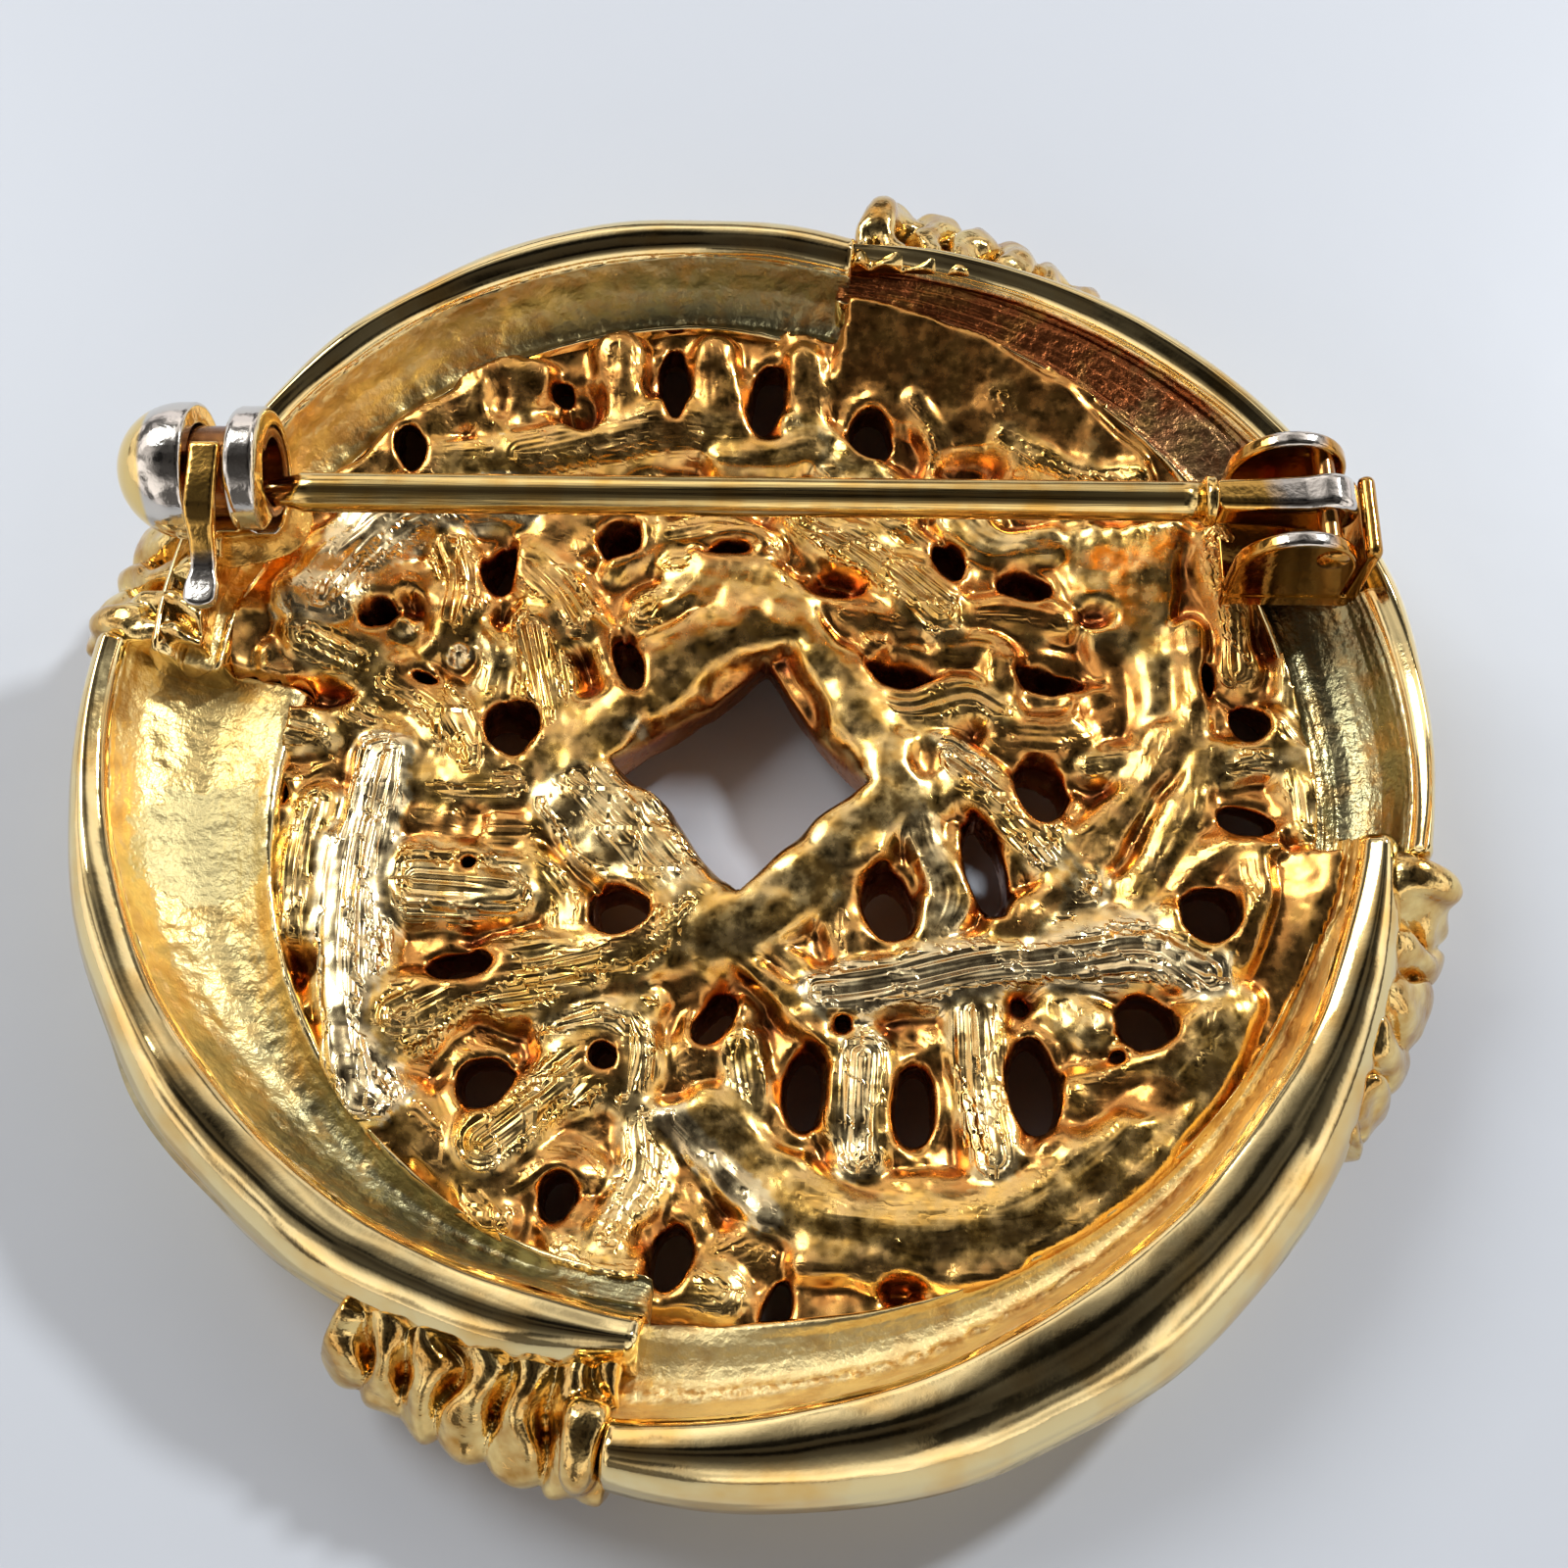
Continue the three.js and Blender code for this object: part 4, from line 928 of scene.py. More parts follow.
def ellipse_reach(x, y, half_width, half_height, degrees=0.0):
    """1 on the edge of an ellipse about the origin, less inside."""
    turn = math.radians(degrees)
    u = x * math.cos(turn) + y * math.sin(turn)
    v = y * math.cos(turn) - x * math.sin(turn)
    return np.hypot(u / half_width, v / half_height)


def near(x, y, centre_x, centre_y, reach):
    """Slices of the grid within reach of a place."""
    rows = np.nonzero(np.abs(x[:, 0] - centre_x) <= reach)[0]
    columns = np.nonzero(np.abs(y[0, :] - centre_y) <= reach)[0]
    if len(rows) == 0 or len(columns) == 0:
        return None
    return slice(rows[0], rows[-1] + 1), slice(columns[0], columns[-1] + 1)


class Relief:
    """Height of the weave's back over a grid, with what the material needs to know."""

    def __init__(self, x, y):
        self.x = x
        self.y = y
        radius = np.hypot(x, y)
        self.plate = np.interp(radius, PLATE_KNOTS_R, PLATE_BACK_Z) + wall_rise(x, y)
        lumps = 0.16 * value_noise((x, y), 1.7, 11) + 0.06 * value_noise((x, y), 0.7, 12)
        self.height = self.plate - FLOOR_DROP + lumps
        self.along = np.zeros(x.shape)
        self.across = np.zeros(x.shape)
        self.strand = np.zeros(x.shape)
        self.striation = np.zeros(x.shape)
        self.tone = np.full(x.shape, -0.6)

    def add_strand(self, number, half_width, lift, striation, tone, points):
        path = smooth_path(points)
        middle = (path.max(0) + path.min(0)) / 2
        reach = (path.max(0) - path.min(0)).max() / 2 + half_width + 1
        part = near(self.x, self.y, *middle, reach)
        if part is None:
            return
        x = self.x[part]
        y = self.y[part]
        wander = 0.16 * value_noise((x, y), 1.1, 20 + number % 7)
        along, across = path_coordinates(x, y, path)
        width = STRAND_SPREAD * half_width
        width = width * (1 + 0.24 * value_noise((along, 0 * along + 7 * number), 1.2, 31))
        reach = np.abs(across + wander * half_width) / width
        crown = half_width * 0.5 * np.clip(1 - reach ** 2, 0, 1) ** 0.5
        outside = 2.4 * np.clip(reach - 1, 0, 3)
        waver = 1.6 * value_noise((along, across), 2.0, 41)
        ridges = np.cos(2 * math.pi * across / RIDGE_PITCH + waver)
        ridges = ridges * (0.055 + 0.03 * value_noise((along, across), 1.2, 42)) * striation
        lumps = 0.09 * value_noise((x, y), 0.9, 51) + 0.02 * value_noise((x, y), 0.4, 52)
        top = self.plate[part] - FLOOR_DROP + lift + crown - outside + ridges + lumps
        won = smooth_step(-0.06, 0.06, top - self.height[part])
        self.height[part] = smooth_max(self.height[part], top, SMOOTHING)
        for mine, value in ((self.along, along), (self.across, across),
                            (self.strand, 0 * along + number)):
            mine[part] = np.where(won > 0.5, value, mine[part])
        for mine, value in ((self.striation, striation), (self.tone, tone)):
            mine[part] = mine[part] * (1 - won) + value * won

    def add_hollow(self, x, y, half_width, half_height, depth, tone):
        part = near(self.x, self.y, x, y, 1.6 * max(half_width, half_height))
        reach = ellipse_reach(self.x[part] - x, self.y[part] - y, half_width, half_height)
        inside = 1 - smooth_step(0.6, 1.2, reach)
        self.height[part] -= depth * inside
        # Painted shade: a hollow takes its own tone, mostly coppery.
        self.tone[part] = self.tone[part] * (1 - inside) + tone * inside
        self.striation[part] *= 1 - 0.8 * inside

    def add_bead(self, x, y, radius, height, tone):
        part = near(self.x, self.y, x, y, 1.5 * radius)
        reach = np.hypot(self.x[part] - x, self.y[part] - y) / radius
        top = self.plate[part] - FLOOR_DROP + height
        top = top + radius * (np.sqrt(np.clip(1 - reach ** 2, 0, 1)) - 3 * np.clip(reach - 1, 0, 3))
        won = smooth_step(-0.05, 0.05, top - self.height[part])
        self.height[part] = smooth_max(self.height[part], top, 0.1)
        self.tone[part] = self.tone[part] * (1 - won) + tone * won
        self.striation[part] *= 1 - won

    def add_rim(self, x, y, half_width, half_height, degrees, rim):
        part = near(self.x, self.y, x, y, 2.2 * max(half_width, half_height))
        reach = ellipse_reach(self.x[part] - x, self.y[part] - y, half_width, half_height, degrees)
        size = min(half_width, half_height)
        gap = (reach - 1) * size
        self.height[part] += rim * np.exp(-((gap - 0.26) / 0.16) ** 2)
        self.height[part] += 0.4 * rim * np.exp(-((gap - 0.62) / 0.13) ** 2)
        # Painted shade: the tone drops towards coppery close to each hole's edge.
        close = np.exp(-(np.clip(gap, 0, 9) / 0.5) ** 2)
        self.tone[part] = self.tone[part] * (1 - close) - 0.75 * close
        self.striation[part] *= 1 - close


def blurred(heights, cells):
    """Running mean over a square of the given half size."""
    out = heights
    for axis in (0, 1):
        width = [(0, 0), (0, 0)]
        width[axis] = (cells + 1, cells)
        total = np.cumsum(np.pad(out, width, mode="edge"), axis=axis)
        upper = np.take(total, np.arange(2 * cells + 1, total.shape[axis]), axis=axis)
        lower = np.take(total, np.arange(0, total.shape[axis] - 2 * cells - 1), axis=axis)
        out = (upper - lower) / (2 * cells + 1)
    return out


def polygon_distance(x, y, outline):
    """Signed distance to a closed outline, negative inside."""
    best = np.full(x.shape, 1e9)
    inside = np.zeros(x.shape, bool)
    for (ax, ay), (bx, by) in zip(outline, np.roll(outline, -1, 0)):
        ex, ey = bx - ax, by - ay
        t = np.clip(((x - ax) * ex + (y - ay) * ey) / (ex * ex + ey * ey), 0, 1)
        best = np.minimum(best, np.hypot(x - ax - t * ex, y - ay - t * ey))
        crosses = (ay > y) != (by > y)
        if ay != by:
            inside ^= crosses & (x < ax + (y - ay) * ex / ey)
    return np.where(inside, -best, best)


def front_relief(x, y):
    """Height of the front: a basketwork of striated strands, over one and under one."""
    radius = np.hypot(x, y)
    level = np.interp(radius, PLATE_FRONT_R, PLATE_FRONT_Z)
    u = (x * math.cos(WINDOW_TURN) + y * math.sin(WINDOW_TURN)) / FRONT_PITCH
    v = (y * math.cos(WINDOW_TURN) - x * math.sin(WINDOW_TURN)) / FRONT_PITCH
    top = np.full(x.shape, -9.0)
    for a, b in ((u, v), (v, u)):
        lane = np.floor(a)
        offset = a - lane - 0.5
        crown = np.sqrt(np.clip(1 - (offset / 0.47) ** 2, 0, 1))
        phase = lane if a is u else lane + 1
        wave = np.cos(math.pi * (b - 0.5 + phase))
        ridges = 0.035 * np.cos(2 * math.pi * offset * 7)
        top = np.maximum(top, 0.42 * crown + 0.22 * wave + ridges * (crown > 0.2))
    return level + FRONT_LIFT - top


def filler_strands():
    """Short, low strands that fill the ground between the main ones."""
    rng = np.random.default_rng(FILLER_SEED)
    strands = []
    for radius in FILLER_RADII:
        count = int(2 * math.pi * radius / FILLER_PITCH)
        for i in range(count):
            angle = 2 * math.pi * (i + rng.uniform(0, 0.7)) / count
            x, y = radius * math.cos(angle), radius * math.sin(angle)
            lane = WINDOW_TURN + (math.pi / 2) * rng.integers(0, 2) + rng.uniform(-0.5, 0.5)
            half = rng.uniform(0.5, 1.2)
            step = half * np.array((math.cos(lane), math.sin(lane)))
            path = [(x - step[0], y - step[1]), (x, y), (x + step[0], y + step[1])]
            strands.append((rng.uniform(0.45, 0.7), rng.uniform(0.02, 0.2),
                            rng.uniform(0.0, 0.6), rng.uniform(-0.7, 0.0), path))
    return strands


def weave_relief(x, y):
    relief = Relief(x, y)
    for number, strand in enumerate(filler_strands() + STRANDS):
        relief.add_strand(number, *strand)
    for hollow in HOLLOWS:
        relief.add_hollow(*hollow)
    for bead in BEADS:
        relief.add_bead(*bead)
    for x0, y0, half_width, half_height, degrees, _, _, rim in HOLES:
        relief.add_rim(x0, y0, half_width, half_height, degrees, rim)
    relief.height = blurred(relief.height, 1)  # no steps where strands meet
    # Striations fade out at the seams between strands
    seam = np.abs(blurred(relief.strand, 1) - relief.strand) > 1e-6
    relief.striation *= 1 - smooth_step(0.0, 0.4, blurred(seam.astype(float), 1))
    return relief


def pierce(field, x, y, z3):
    """Cuts the holes, each leaning a little and flaring out at the back."""
    for x0, y0, half_width, half_height, degrees, slope_x, slope_y, _ in HOLES:
        part = near(x, y, x0, y0, 2.4 * max(half_width, half_height) + 1.2)
        depth = BAND_TOP_Z - z3[0, 0]
        shift_x = x[part][:, :, None] - x0 - slope_x * depth
        shift_y = y[part][:, :, None] - y0 - slope_y * depth
        ragged = 1 + 0.16 * value_noise((x[part], y[part]), 0.8, 61)[:, :, None]
        flare = 1 + 0.12 * np.clip(1 - np.abs(depth) / 1.5, 0, 1)
        reach = ellipse_reach(shift_x, shift_y, half_width, half_height, degrees) * ragged
        hole = (reach - flare) * min(half_width, half_height)
        field[part] = smooth_max(field[part], -hole, HOLE_EDGE)


def mark_weave(piece, relief, vertices, low):
    """Gives each vertex what the material needs from the relief below it."""
    row, column = (np.clip(np.rint((vertices[:, axis] - low[axis]) / WEAVE_VOXEL).astype(int),
                           0, len(relief.x) - 1) for axis in (0, 1))
    # Painted shade: how far a point lies below the blurred relief round it sets the coppery shade
    # of the recesses.
    around = blurred(relief.height, int(round(RECESS_SPAN / WEAVE_VOXEL)))
    sunk = around[row, column] - vertices[:, 2]
    recess_shade = smooth_step(0.02, 0.55, sunk)
    add_vector(piece, "strand", np.stack([relief.along[row, column], relief.across[row, column],
                                          STRAND_STEP * relief.strand[row, column]], 1))
    on_back = smooth_step(-1.4, -0.5, vertices[:, 2] - relief.plate[row, column])
    add_vector(piece, "relief", np.stack([relief.striation[row, column] * on_back,
                                          relief.tone[row, column] * on_back, recess_shade], 1))


def weave():
    low = (-WEAVE_HALF, -WEAVE_HALF, DOME_LOW[2] - 0.9)
    high = (WEAVE_HALF, WEAVE_HALF, DOME_HIGH[2] + 1.2)
    x3, y3, z3 = space(low, high, WEAVE_VOXEL)
    x, y = np.meshgrid(x3.ravel(), y3.ravel(), indexing="ij")
    relief = weave_relief(x, y)
    front = front_relief(x, y)
    field = np.maximum(z3 - relief.height[:, :, None], front[:, :, None] - z3)
    opening = polygon_distance(x, y, WINDOW)
    field = smooth_max(field, -opening[:, :, None] + 0 * z3, WINDOW_EDGE)
    pierce(field, x, y, z3)
    rim = np.hypot(x, y) - rim_radius(x, y) - 0.25
    field = np.maximum(field, rim[:, :, None])
    piece, vertices = zero_surface("weave", field, low, WEAVE_VOXEL)
    mark_weave(piece, relief, vertices, low)
    return piece


weave_piece = weave()
bands = [f"window_band_{quadrant + 1}" for quadrant in range(QUADRANTS)]
finish_piece(weave_piece, WEAVE, "root", "cast_gold", "woven_dome", *bands)


# ---- Fluted tabs -----------------------------------------------------------------------
TAB_SWEEP = math.radians(24)
TAB_FLUTES = 6
TAB_TALL_R = 25.3
TAB_LOW_R = 24.8
TAB_BACK_Z = box_mm("fluted_tab_1")[1][2]
TAB_FRONT_Z = box_mm("fluted_tab_1")[0][2]
TAB_LAP = (0.9, 1.7, 0.0, 0.3)  # how far each laps over its crescent's lip
TAB_SLAB_R = 23.4  # the middle of the slab at each tall end
TAB_SLAB_TOP_Z = CREST_Z - 0.1
TAB_VOXEL = 0.085
TAB_MARGIN = 1.6  # round the node's box in X and Y, for what laps over the crescents
TAB_MID_R = 23  # for lengths along a tab
TAB_TUCK = 0.35  # how far each reaches in under its crescent's edge


def fluted_tab(quadrant):
    """A shell outside a blunt end: flutes run out across it, and its tall end is a slab."""
    node_low, node_high = box_mm(f"fluted_tab_{quadrant + 1}")
    start = FIRST_END + quadrant * math.pi / 2

    def shape(x, y, z):
        radius = np.hypot(x, y)
        turn = (start - np.arctan2(y, x) + math.pi) % (2 * math.pi) - math.pi
        along = turn / TAB_SWEEP
        station = np.clip(turn / SWEEP, 0, 1)
        lap = TAB_LAP[quadrant] * (1 - smooth_step(0.45, 1.0, along))
        inner = OUTER_R[quadrant](station) - TAB_TUCK - lap
        root = TAB_TALL_R + (TAB_LOW_R - TAB_TALL_R) * np.clip(along, 0, 1)
        root = np.maximum(root, inner + 1.3)
        across = np.clip((radius - inner) / (root - inner), 0, 1.2)
        wobble = value_noise((x, y), 1.3, 71 + quadrant)
        phase = math.pi * (TAB_FLUTES * along + 0.35 * across + 0.45 * wobble)
        flute = np.abs(np.cos(phase))
        drop = np.clip(TAB_BACK_Z - z, 0, 5) / 4.2
        outer = root - 0.15 + 0.35 * flute - 0.5 * drop ** 2 + 0.1 * wobble
        ends = np.maximum(-along, along - 1) * TAB_SWEEP * TAB_MID_R
        slope = 0.5 + 0.5 * quadrant
        top = TAB_BACK_Z + 0.1 - (1.1 + slope) * across ** 2 + 0.5 * (flute - 0.6)
        top = top + 0.9 * np.minimum(lap, 1.4) * (1 - 0.5 * across)
        dimple = np.exp(-((across - 0.45) / 0.2) ** 2) * (1 - flute) ** 2
        top = top - (0.8 + 0.4 * wobble) * dimple - 0.9 * np.clip(along - 0.6, 0, 1)
        top = top + 0.10 * value_noise((x, y), 0.6, 81 + quadrant)
        body = smooth_max(radius - outer, ends, 0.5)
        body = smooth_max(body, z - top, 0.45)
        # The slab at the tall end
        x0, y0 = math.cos(start - 0.02), math.sin(start - 0.02)
        out = x * x0 + y * y0
        side = np.abs(y * x0 - x * y0 + 0.25) - 0.62 + 0.12 * (out - TAB_SLAB_R)
        slab = smooth_max(side, np.abs(out - TAB_SLAB_R) - 1.45, 0.7)
        slab = smooth_max(slab, z - TAB_SLAB_TOP_Z + 0.25 * (out - TAB_SLAB_R + 0.6) ** 2, 0.6)
        body = smooth_min(body, slab, 0.5)
        body = smooth_max(body, TAB_FRONT_Z - z, 0.4)
        return smooth_max(body, inner - 0.2 - radius, 0.1)

    low = node_low - (TAB_MARGIN, TAB_MARGIN, 0.3)
    high = node_high + (TAB_MARGIN, TAB_MARGIN, 1.8)
    return field_piece(f"fluted_shell_{quadrant + 1}", low, high, TAB_VOXEL, shape)


TAB_GOLD = cast_material("cast_gold_tabs", PALE_GOLD, DARK_GOLD, 0.7, 0.07, 0.25, 0.06)
for quadrant in range(QUADRANTS):
    tab = fluted_tab(quadrant)
    finish_piece(tab, TAB_GOLD, "root", "cast_gold", f"fluted_tab_{quadrant + 1}")


# ---- Ball catch ------------------------------------------------------------------------
CATCH_LOW, CATCH_HIGH = box_mm("catch_housing")
BALL_R = (CATCH_HIGH[1] - CATCH_LOW[1]) / 2
BALL_X = CATCH_LOW[0] + BALL_R
FACE_X = CATCH_HIGH[0]
CATCH_Y, CATCH_Z = CATCH_AXIS[1], CATCH_AXIS[2]
FOOT_LOW, FOOT_HIGH = box_mm("catch_foot")
SLEEVE_LOW, SLEEVE_HIGH = box_mm("catch_sleeve")
SLEEVE_R = (SLEEVE_HIGH[1] - SLEEVE_LOW[1]) / 2
LEVER_LOW, LEVER_HIGH = box_mm("catch_lever")
LEVER_SIDE_GAP = 0.15  # between the lever and each side of its groove
GROOVE_MIN_X = LEVER_LOW[0] - LEVER_SIDE_GAP
GROOVE_MAX_X = LEVER_HIGH[0] + LEVER_SIDE_GAP
GROOVE_FLOOR = -1.3  # height of the groove's ends above the catch's axis
CUP_LENGTH = 0.35
MOUTH_WIDTH = 1.3
MOUTH_Z = -0.9  # height of the mouth's middle above the catch's axis
SLEEVE_BORE_R = 1.2
SLEEVE_PLUG = 2.95  # length of the sleeve's solid end
FINE = 0.06  # voxel of the findings
RING_INSET = 0.12  # the ring is this much slimmer than the ball
CUP_DRAW_IN = 0.5
RING_BEVEL = 0.25
BORE_GAP = 0.07  # round the sleeve
BORE_START = 1.05  # from the ball's end
EDGE_ROUND = 0.16
REACH_OUT = 4  # how far a cutter runs on past the metal


def box_field(x, y, z, low, high):
    """Negative inside the box between two corners."""
    field = np.maximum(low[0] - x, x - high[0])
    field = np.maximum(field, np.maximum(low[1] - y, y - high[1]))
    return np.maximum(field, np.maximum(low[2] - z, z - high[2]))


def catch_housing(x, y, z):
    """A ball, a groove for the lever and a ring, whose mouth opens low on the near side."""
    radius = np.hypot(y - CATCH_Y, z - CATCH_Z)
    # The ring is a little slimmer than the ball and draws in to a cup at the open end.
    cup = np.clip((x - FACE_X + CUP_LENGTH) / CUP_LENGTH, 0, 1.2)
    ring_r = BALL_R - RING_INSET - CUP_DRAW_IN * cup ** 2
    ring_r = ring_r - 0.1 * np.clip(1 - (x - GROOVE_MAX_X) / RING_BEVEL, 0, 1)
    ball = np.sqrt(np.clip(x - BALL_X, None, 0) ** 2 + radius ** 2) - BALL_R
    body = np.where(x < GROOVE_MIN_X + 0.3, ball, radius - ring_r)
    body = smooth_max(body, x - FACE_X - 0.1, 0.3)
    bore = np.maximum(radius - SLEEVE_R - BORE_GAP, CATCH_LOW[0] + BORE_START - x)
    groove = box_field(x, y, z, (GROOVE_MIN_X, CATCH_Y - REACH_OUT, CATCH_Z + GROOVE_FLOOR),
                       (GROOVE_MAX_X, CATCH_Y + REACH_OUT, CATCH_Z + REACH_OUT))
    mouth_z = CATCH_Z + MOUTH_Z
    mouth_low = (GROOVE_MAX_X - 0.2, CATCH_Y - REACH_OUT, mouth_z - MOUTH_WIDTH / 2)
    mouth = box_field(x, y, z, mouth_low, (FACE_X + 1, CATCH_Y, mouth_z + MOUTH_WIDTH / 2))
    for cutter in (bore, groove, mouth):
        body = smooth_max(body, -cutter, EDGE_ROUND)
    return smooth_max(body, CATCH_LOW[2] - z, 0.1)


def catch_sleeve(x, y, z):
    """A tube, solid at the ball's end, with a slot along its top for the stem."""
    radius = np.hypot(y - CATCH_Y, z - CATCH_Z)
    tube = smooth_max(radius - SLEEVE_R, x - SLEEVE_HIGH[0], 0.1)
    tube = smooth_max(tube, SLEEVE_LOW[0] - x, 0.1)
    bore = np.maximum(radius - SLEEVE_BORE_R, SLEEVE_LOW[0] + SLEEVE_PLUG - x)
    slot = box_field(x, y, z, (SLEEVE_LOW[0] + SLEEVE_PLUG, PIN_Y - MOUTH_WIDTH / 2, CATCH_Z),
                     (SLEEVE_HIGH[0] + 1, PIN_Y + MOUTH_WIDTH / 2, CATCH_Z + REACH_OUT))
    return smooth_max(smooth_max(tube, -bore, 0.08), -slot, 0.08)


# The lever's middle as (y, z) from the catch's axis
LEVER_PATH = smooth_path([(-0.2, 1.87), (-1.9, 1.62), (-2.6, 1.3), (-3.7, 0.4), (-4.4, 0.2),
                          (-5.35, 0.15)])
LEVER_HALF = 0.21  # half its thickness
LEVER_NECK = 0.1  # how much it narrows past the bend
LEVER_FLARE = 0.14  # and widens again at its end
LEVER_SWELL = 0.06  # extra thickness at the bend
LEVER_BEND = 2.6  # distance of the bend along the path
LEVER_END_R = 0.72


def catch_lever(x, y, z):
    """A flat strip over the sleeve, thicker at the bend, with a rounded end."""
    plane = y - CATCH_Y + 0 * z, z - CATCH_Z + 0 * y
    along, across = path_coordinates(*plane, LEVER_PATH)
    middle = (LEVER_LOW[0] + LEVER_HIGH[0]) / 2
    width = (LEVER_HIGH[0] - LEVER_LOW[0]) / 2
    width = width - LEVER_NECK * smooth_step(2.0, 3.4, along)
    width = width + LEVER_FLARE * smooth_step(4.2, 5.0, along)
    half = LEVER_HALF + LEVER_SWELL * np.exp(-((along - LEVER_BEND) / 0.5) ** 2)
    strip = smooth_max(np.abs(across) - half, np.abs(x - middle) - width, EDGE_ROUND)
    end = np.hypot(x - middle, y - LEVER_LOW[1] - 0.7) - LEVER_END_R + 0 * z
    end = end - 9 * smooth_step(0.6, 0.8, y - LEVER_LOW[1])  # only near the tip
    return smooth_max(strip, end, 0.1)


FOOT_CORNER_R = 1.3
FOOT_HALF_HEIGHT = 0.5
FOOT_FLARE = 0.5


def catch_foot(x, y, z):
    """A pad under the ball, with solder run out round it."""
    centre_x = (FOOT_LOW[0] + FOOT_HIGH[0]) / 2
    half = (FOOT_HIGH[0] - FOOT_LOW[0]) / 2
    past = np.clip(np.abs(x - centre_x) - half + FOOT_CORNER_R, 0, 9)
    rounded = np.hypot(past, y - CATCH_Y) - FOOT_CORNER_R
    flare = FOOT_FLARE * np.clip((FOOT_HIGH[2] - z) / 0.8, 0, 1.4) ** 2
    ragged = 0.14 * value_noise((x, y), 0.8, 91)
    level = np.abs(z - FOOT_HIGH[2] + FOOT_HALF_HEIGHT) - FOOT_HALF_HEIGHT
    return smooth_max(rounded - flare - ragged, level, 0.15)


HOUSING_LOOK = worn_material("nickel_wear_catch", 0, [
    (BALL_X - 1.1, GROOVE_MIN_X + 0.1),
    (GROOVE_MAX_X - 0.1, FACE_X - 0.15),
], 0.15, PALE_GOLD)
POLISHED = cast_material("polished_gold_catch", GOLD, PALE_GOLD, 0.9, 0.05, 0.16, 0.02)
CAST = cast_material("cast_gold_foot", DARK_GOLD, GOLD, 0.5, 0.15, 0.4, 0.06)
# Painted shade: the sleeve inside the catch is dark umber and bronze, for the shade in its groove
# and mouth.
SLEEVE_LOOK = cast_material("sleeve_painted_shade", UMBER, BRONZE, 0.9, 0.15, 0.35, 0.03)
LEVER_LOOK = worn_material("nickel_wear_lever", 1, [(LEVER_LOW[1] - 1, LEVER_LOW[1] + 1.9)], 0.4)



def finding(name, node, shape, look, body, slot, margin=0.5):
    """A small piece from its field, on a fine grid a margin wider than its node's box."""
    low, high = box_mm(node)
    piece = field_piece(name, low - margin, high + margin, FINE, shape)
    finish_piece(piece, look, body, slot, node)


finding("ball_catch", "catch_housing", catch_housing, HOUSING_LOOK, "root", "nickel_wear")
finding("turning_sleeve", "catch_sleeve", catch_sleeve, SLEEVE_LOOK, "rotor", "polished_gold")
finding("thumb_lever", "catch_lever", catch_lever, LEVER_LOOK, "rotor", "polished_gold")
finding("catch_pad", "catch_foot", catch_foot, CAST, "root", "cast_gold", margin=1.0)


# ---- Hinge -----------------------------------------------------------------------------
BRACKET_LOW, BRACKET_HIGH = box_mm("hinge_bracket")
KNUCKLE_LOW, KNUCKLE_HIGH = box_mm("stem_knuckle")
KNUCKLE_R = (KNUCKLE_HIGH[2] - KNUCKLE_LOW[2]) / 2
KNUCKLE_HALF = (KNUCKLE_HIGH[1] - KNUCKLE_LOW[1]) / 2
STOP_THICKNESS = 0.45
EAR_THICKNESS = 0.6
EAR_MIN_X = BRACKET_LOW[0]
EAR_LENGTH = 4.2
EAR_MAX_X = EAR_MIN_X + EAR_LENGTH
STOP_REACH = 1.0  # past the middle of the pin
STOP_TOP_Z = PIN_Z + 0.35
STOP_BEAD_R = 0.3
EAR_TOP_Z = PIN_Z + 1.1
EAR_LEAN = 0.05  # outwards, for each millimetre above the line below
EAR_LEAN_Z = 7.5
EAR_JOIN = 0.2
SHANK_HALF = 0.7  # half thickness of the knuckle's shank at the collar
SHANK_GROWTH = 0.18
SHANK_WAIST = 0.12
RIVET_LOW, RIVET_HIGH = box_mm("hinge_rivet")
RIVET_HEAD_R = (RIVET_HIGH[2] - RIVET_LOW[2]) / 2 - 0.02
RIVET_HEAD_HEIGHT = 0.28
RIVET_DOME_R = 0.85  # of the sphere that each head is part of
RIVET_R = 0.39


def hinge_bracket(x, y, z):
    """Base plate, two round-topped ears and the stop behind the knuckle."""
    low, high = BRACKET_LOW, BRACKET_HIGH
    radius = (EAR_MAX_X - EAR_MIN_X) / 2
    middle = (EAR_MAX_X + EAR_MIN_X) / 2
    arch = np.hypot(x - middle, np.clip(z - EAR_TOP_Z + radius, 0, 9)) - radius
    arch = np.maximum(arch, low[2] - z)
    half = EAR_THICKNESS / 2
    offset = (high[1] - low[1]) / 2 - half
    field = box_field(x, y, z, low, (high[0], high[1], low[2] + EAR_THICKNESS))
    for side in (-1, 1):
        lean = EAR_LEAN * np.clip(z - EAR_LEAN_Z, 0, 3) * side
        sheet = np.abs(y - PIN_Y - side * offset - lean) - half
        ear = smooth_max(arch, sheet, 0.18)
        field = smooth_min(field, ear, EAR_JOIN)
    bead_z = STOP_TOP_Z - STOP_BEAD_R
    stop = box_field(x, y, z, (high[0] - STOP_THICKNESS, low[1], low[2]),
                     (high[0], PIN_Y + STOP_REACH, bead_z))
    bead = np.hypot(x - high[0] + STOP_THICKNESS / 2, z - bead_z) - STOP_BEAD_R
    bead = smooth_max(bead, np.maximum(low[1] - y, y - PIN_Y - STOP_REACH), STOP_BEAD_R)
    return smooth_min(field, smooth_min(stop + 0.02, bead, 0.1), EAR_JOIN)


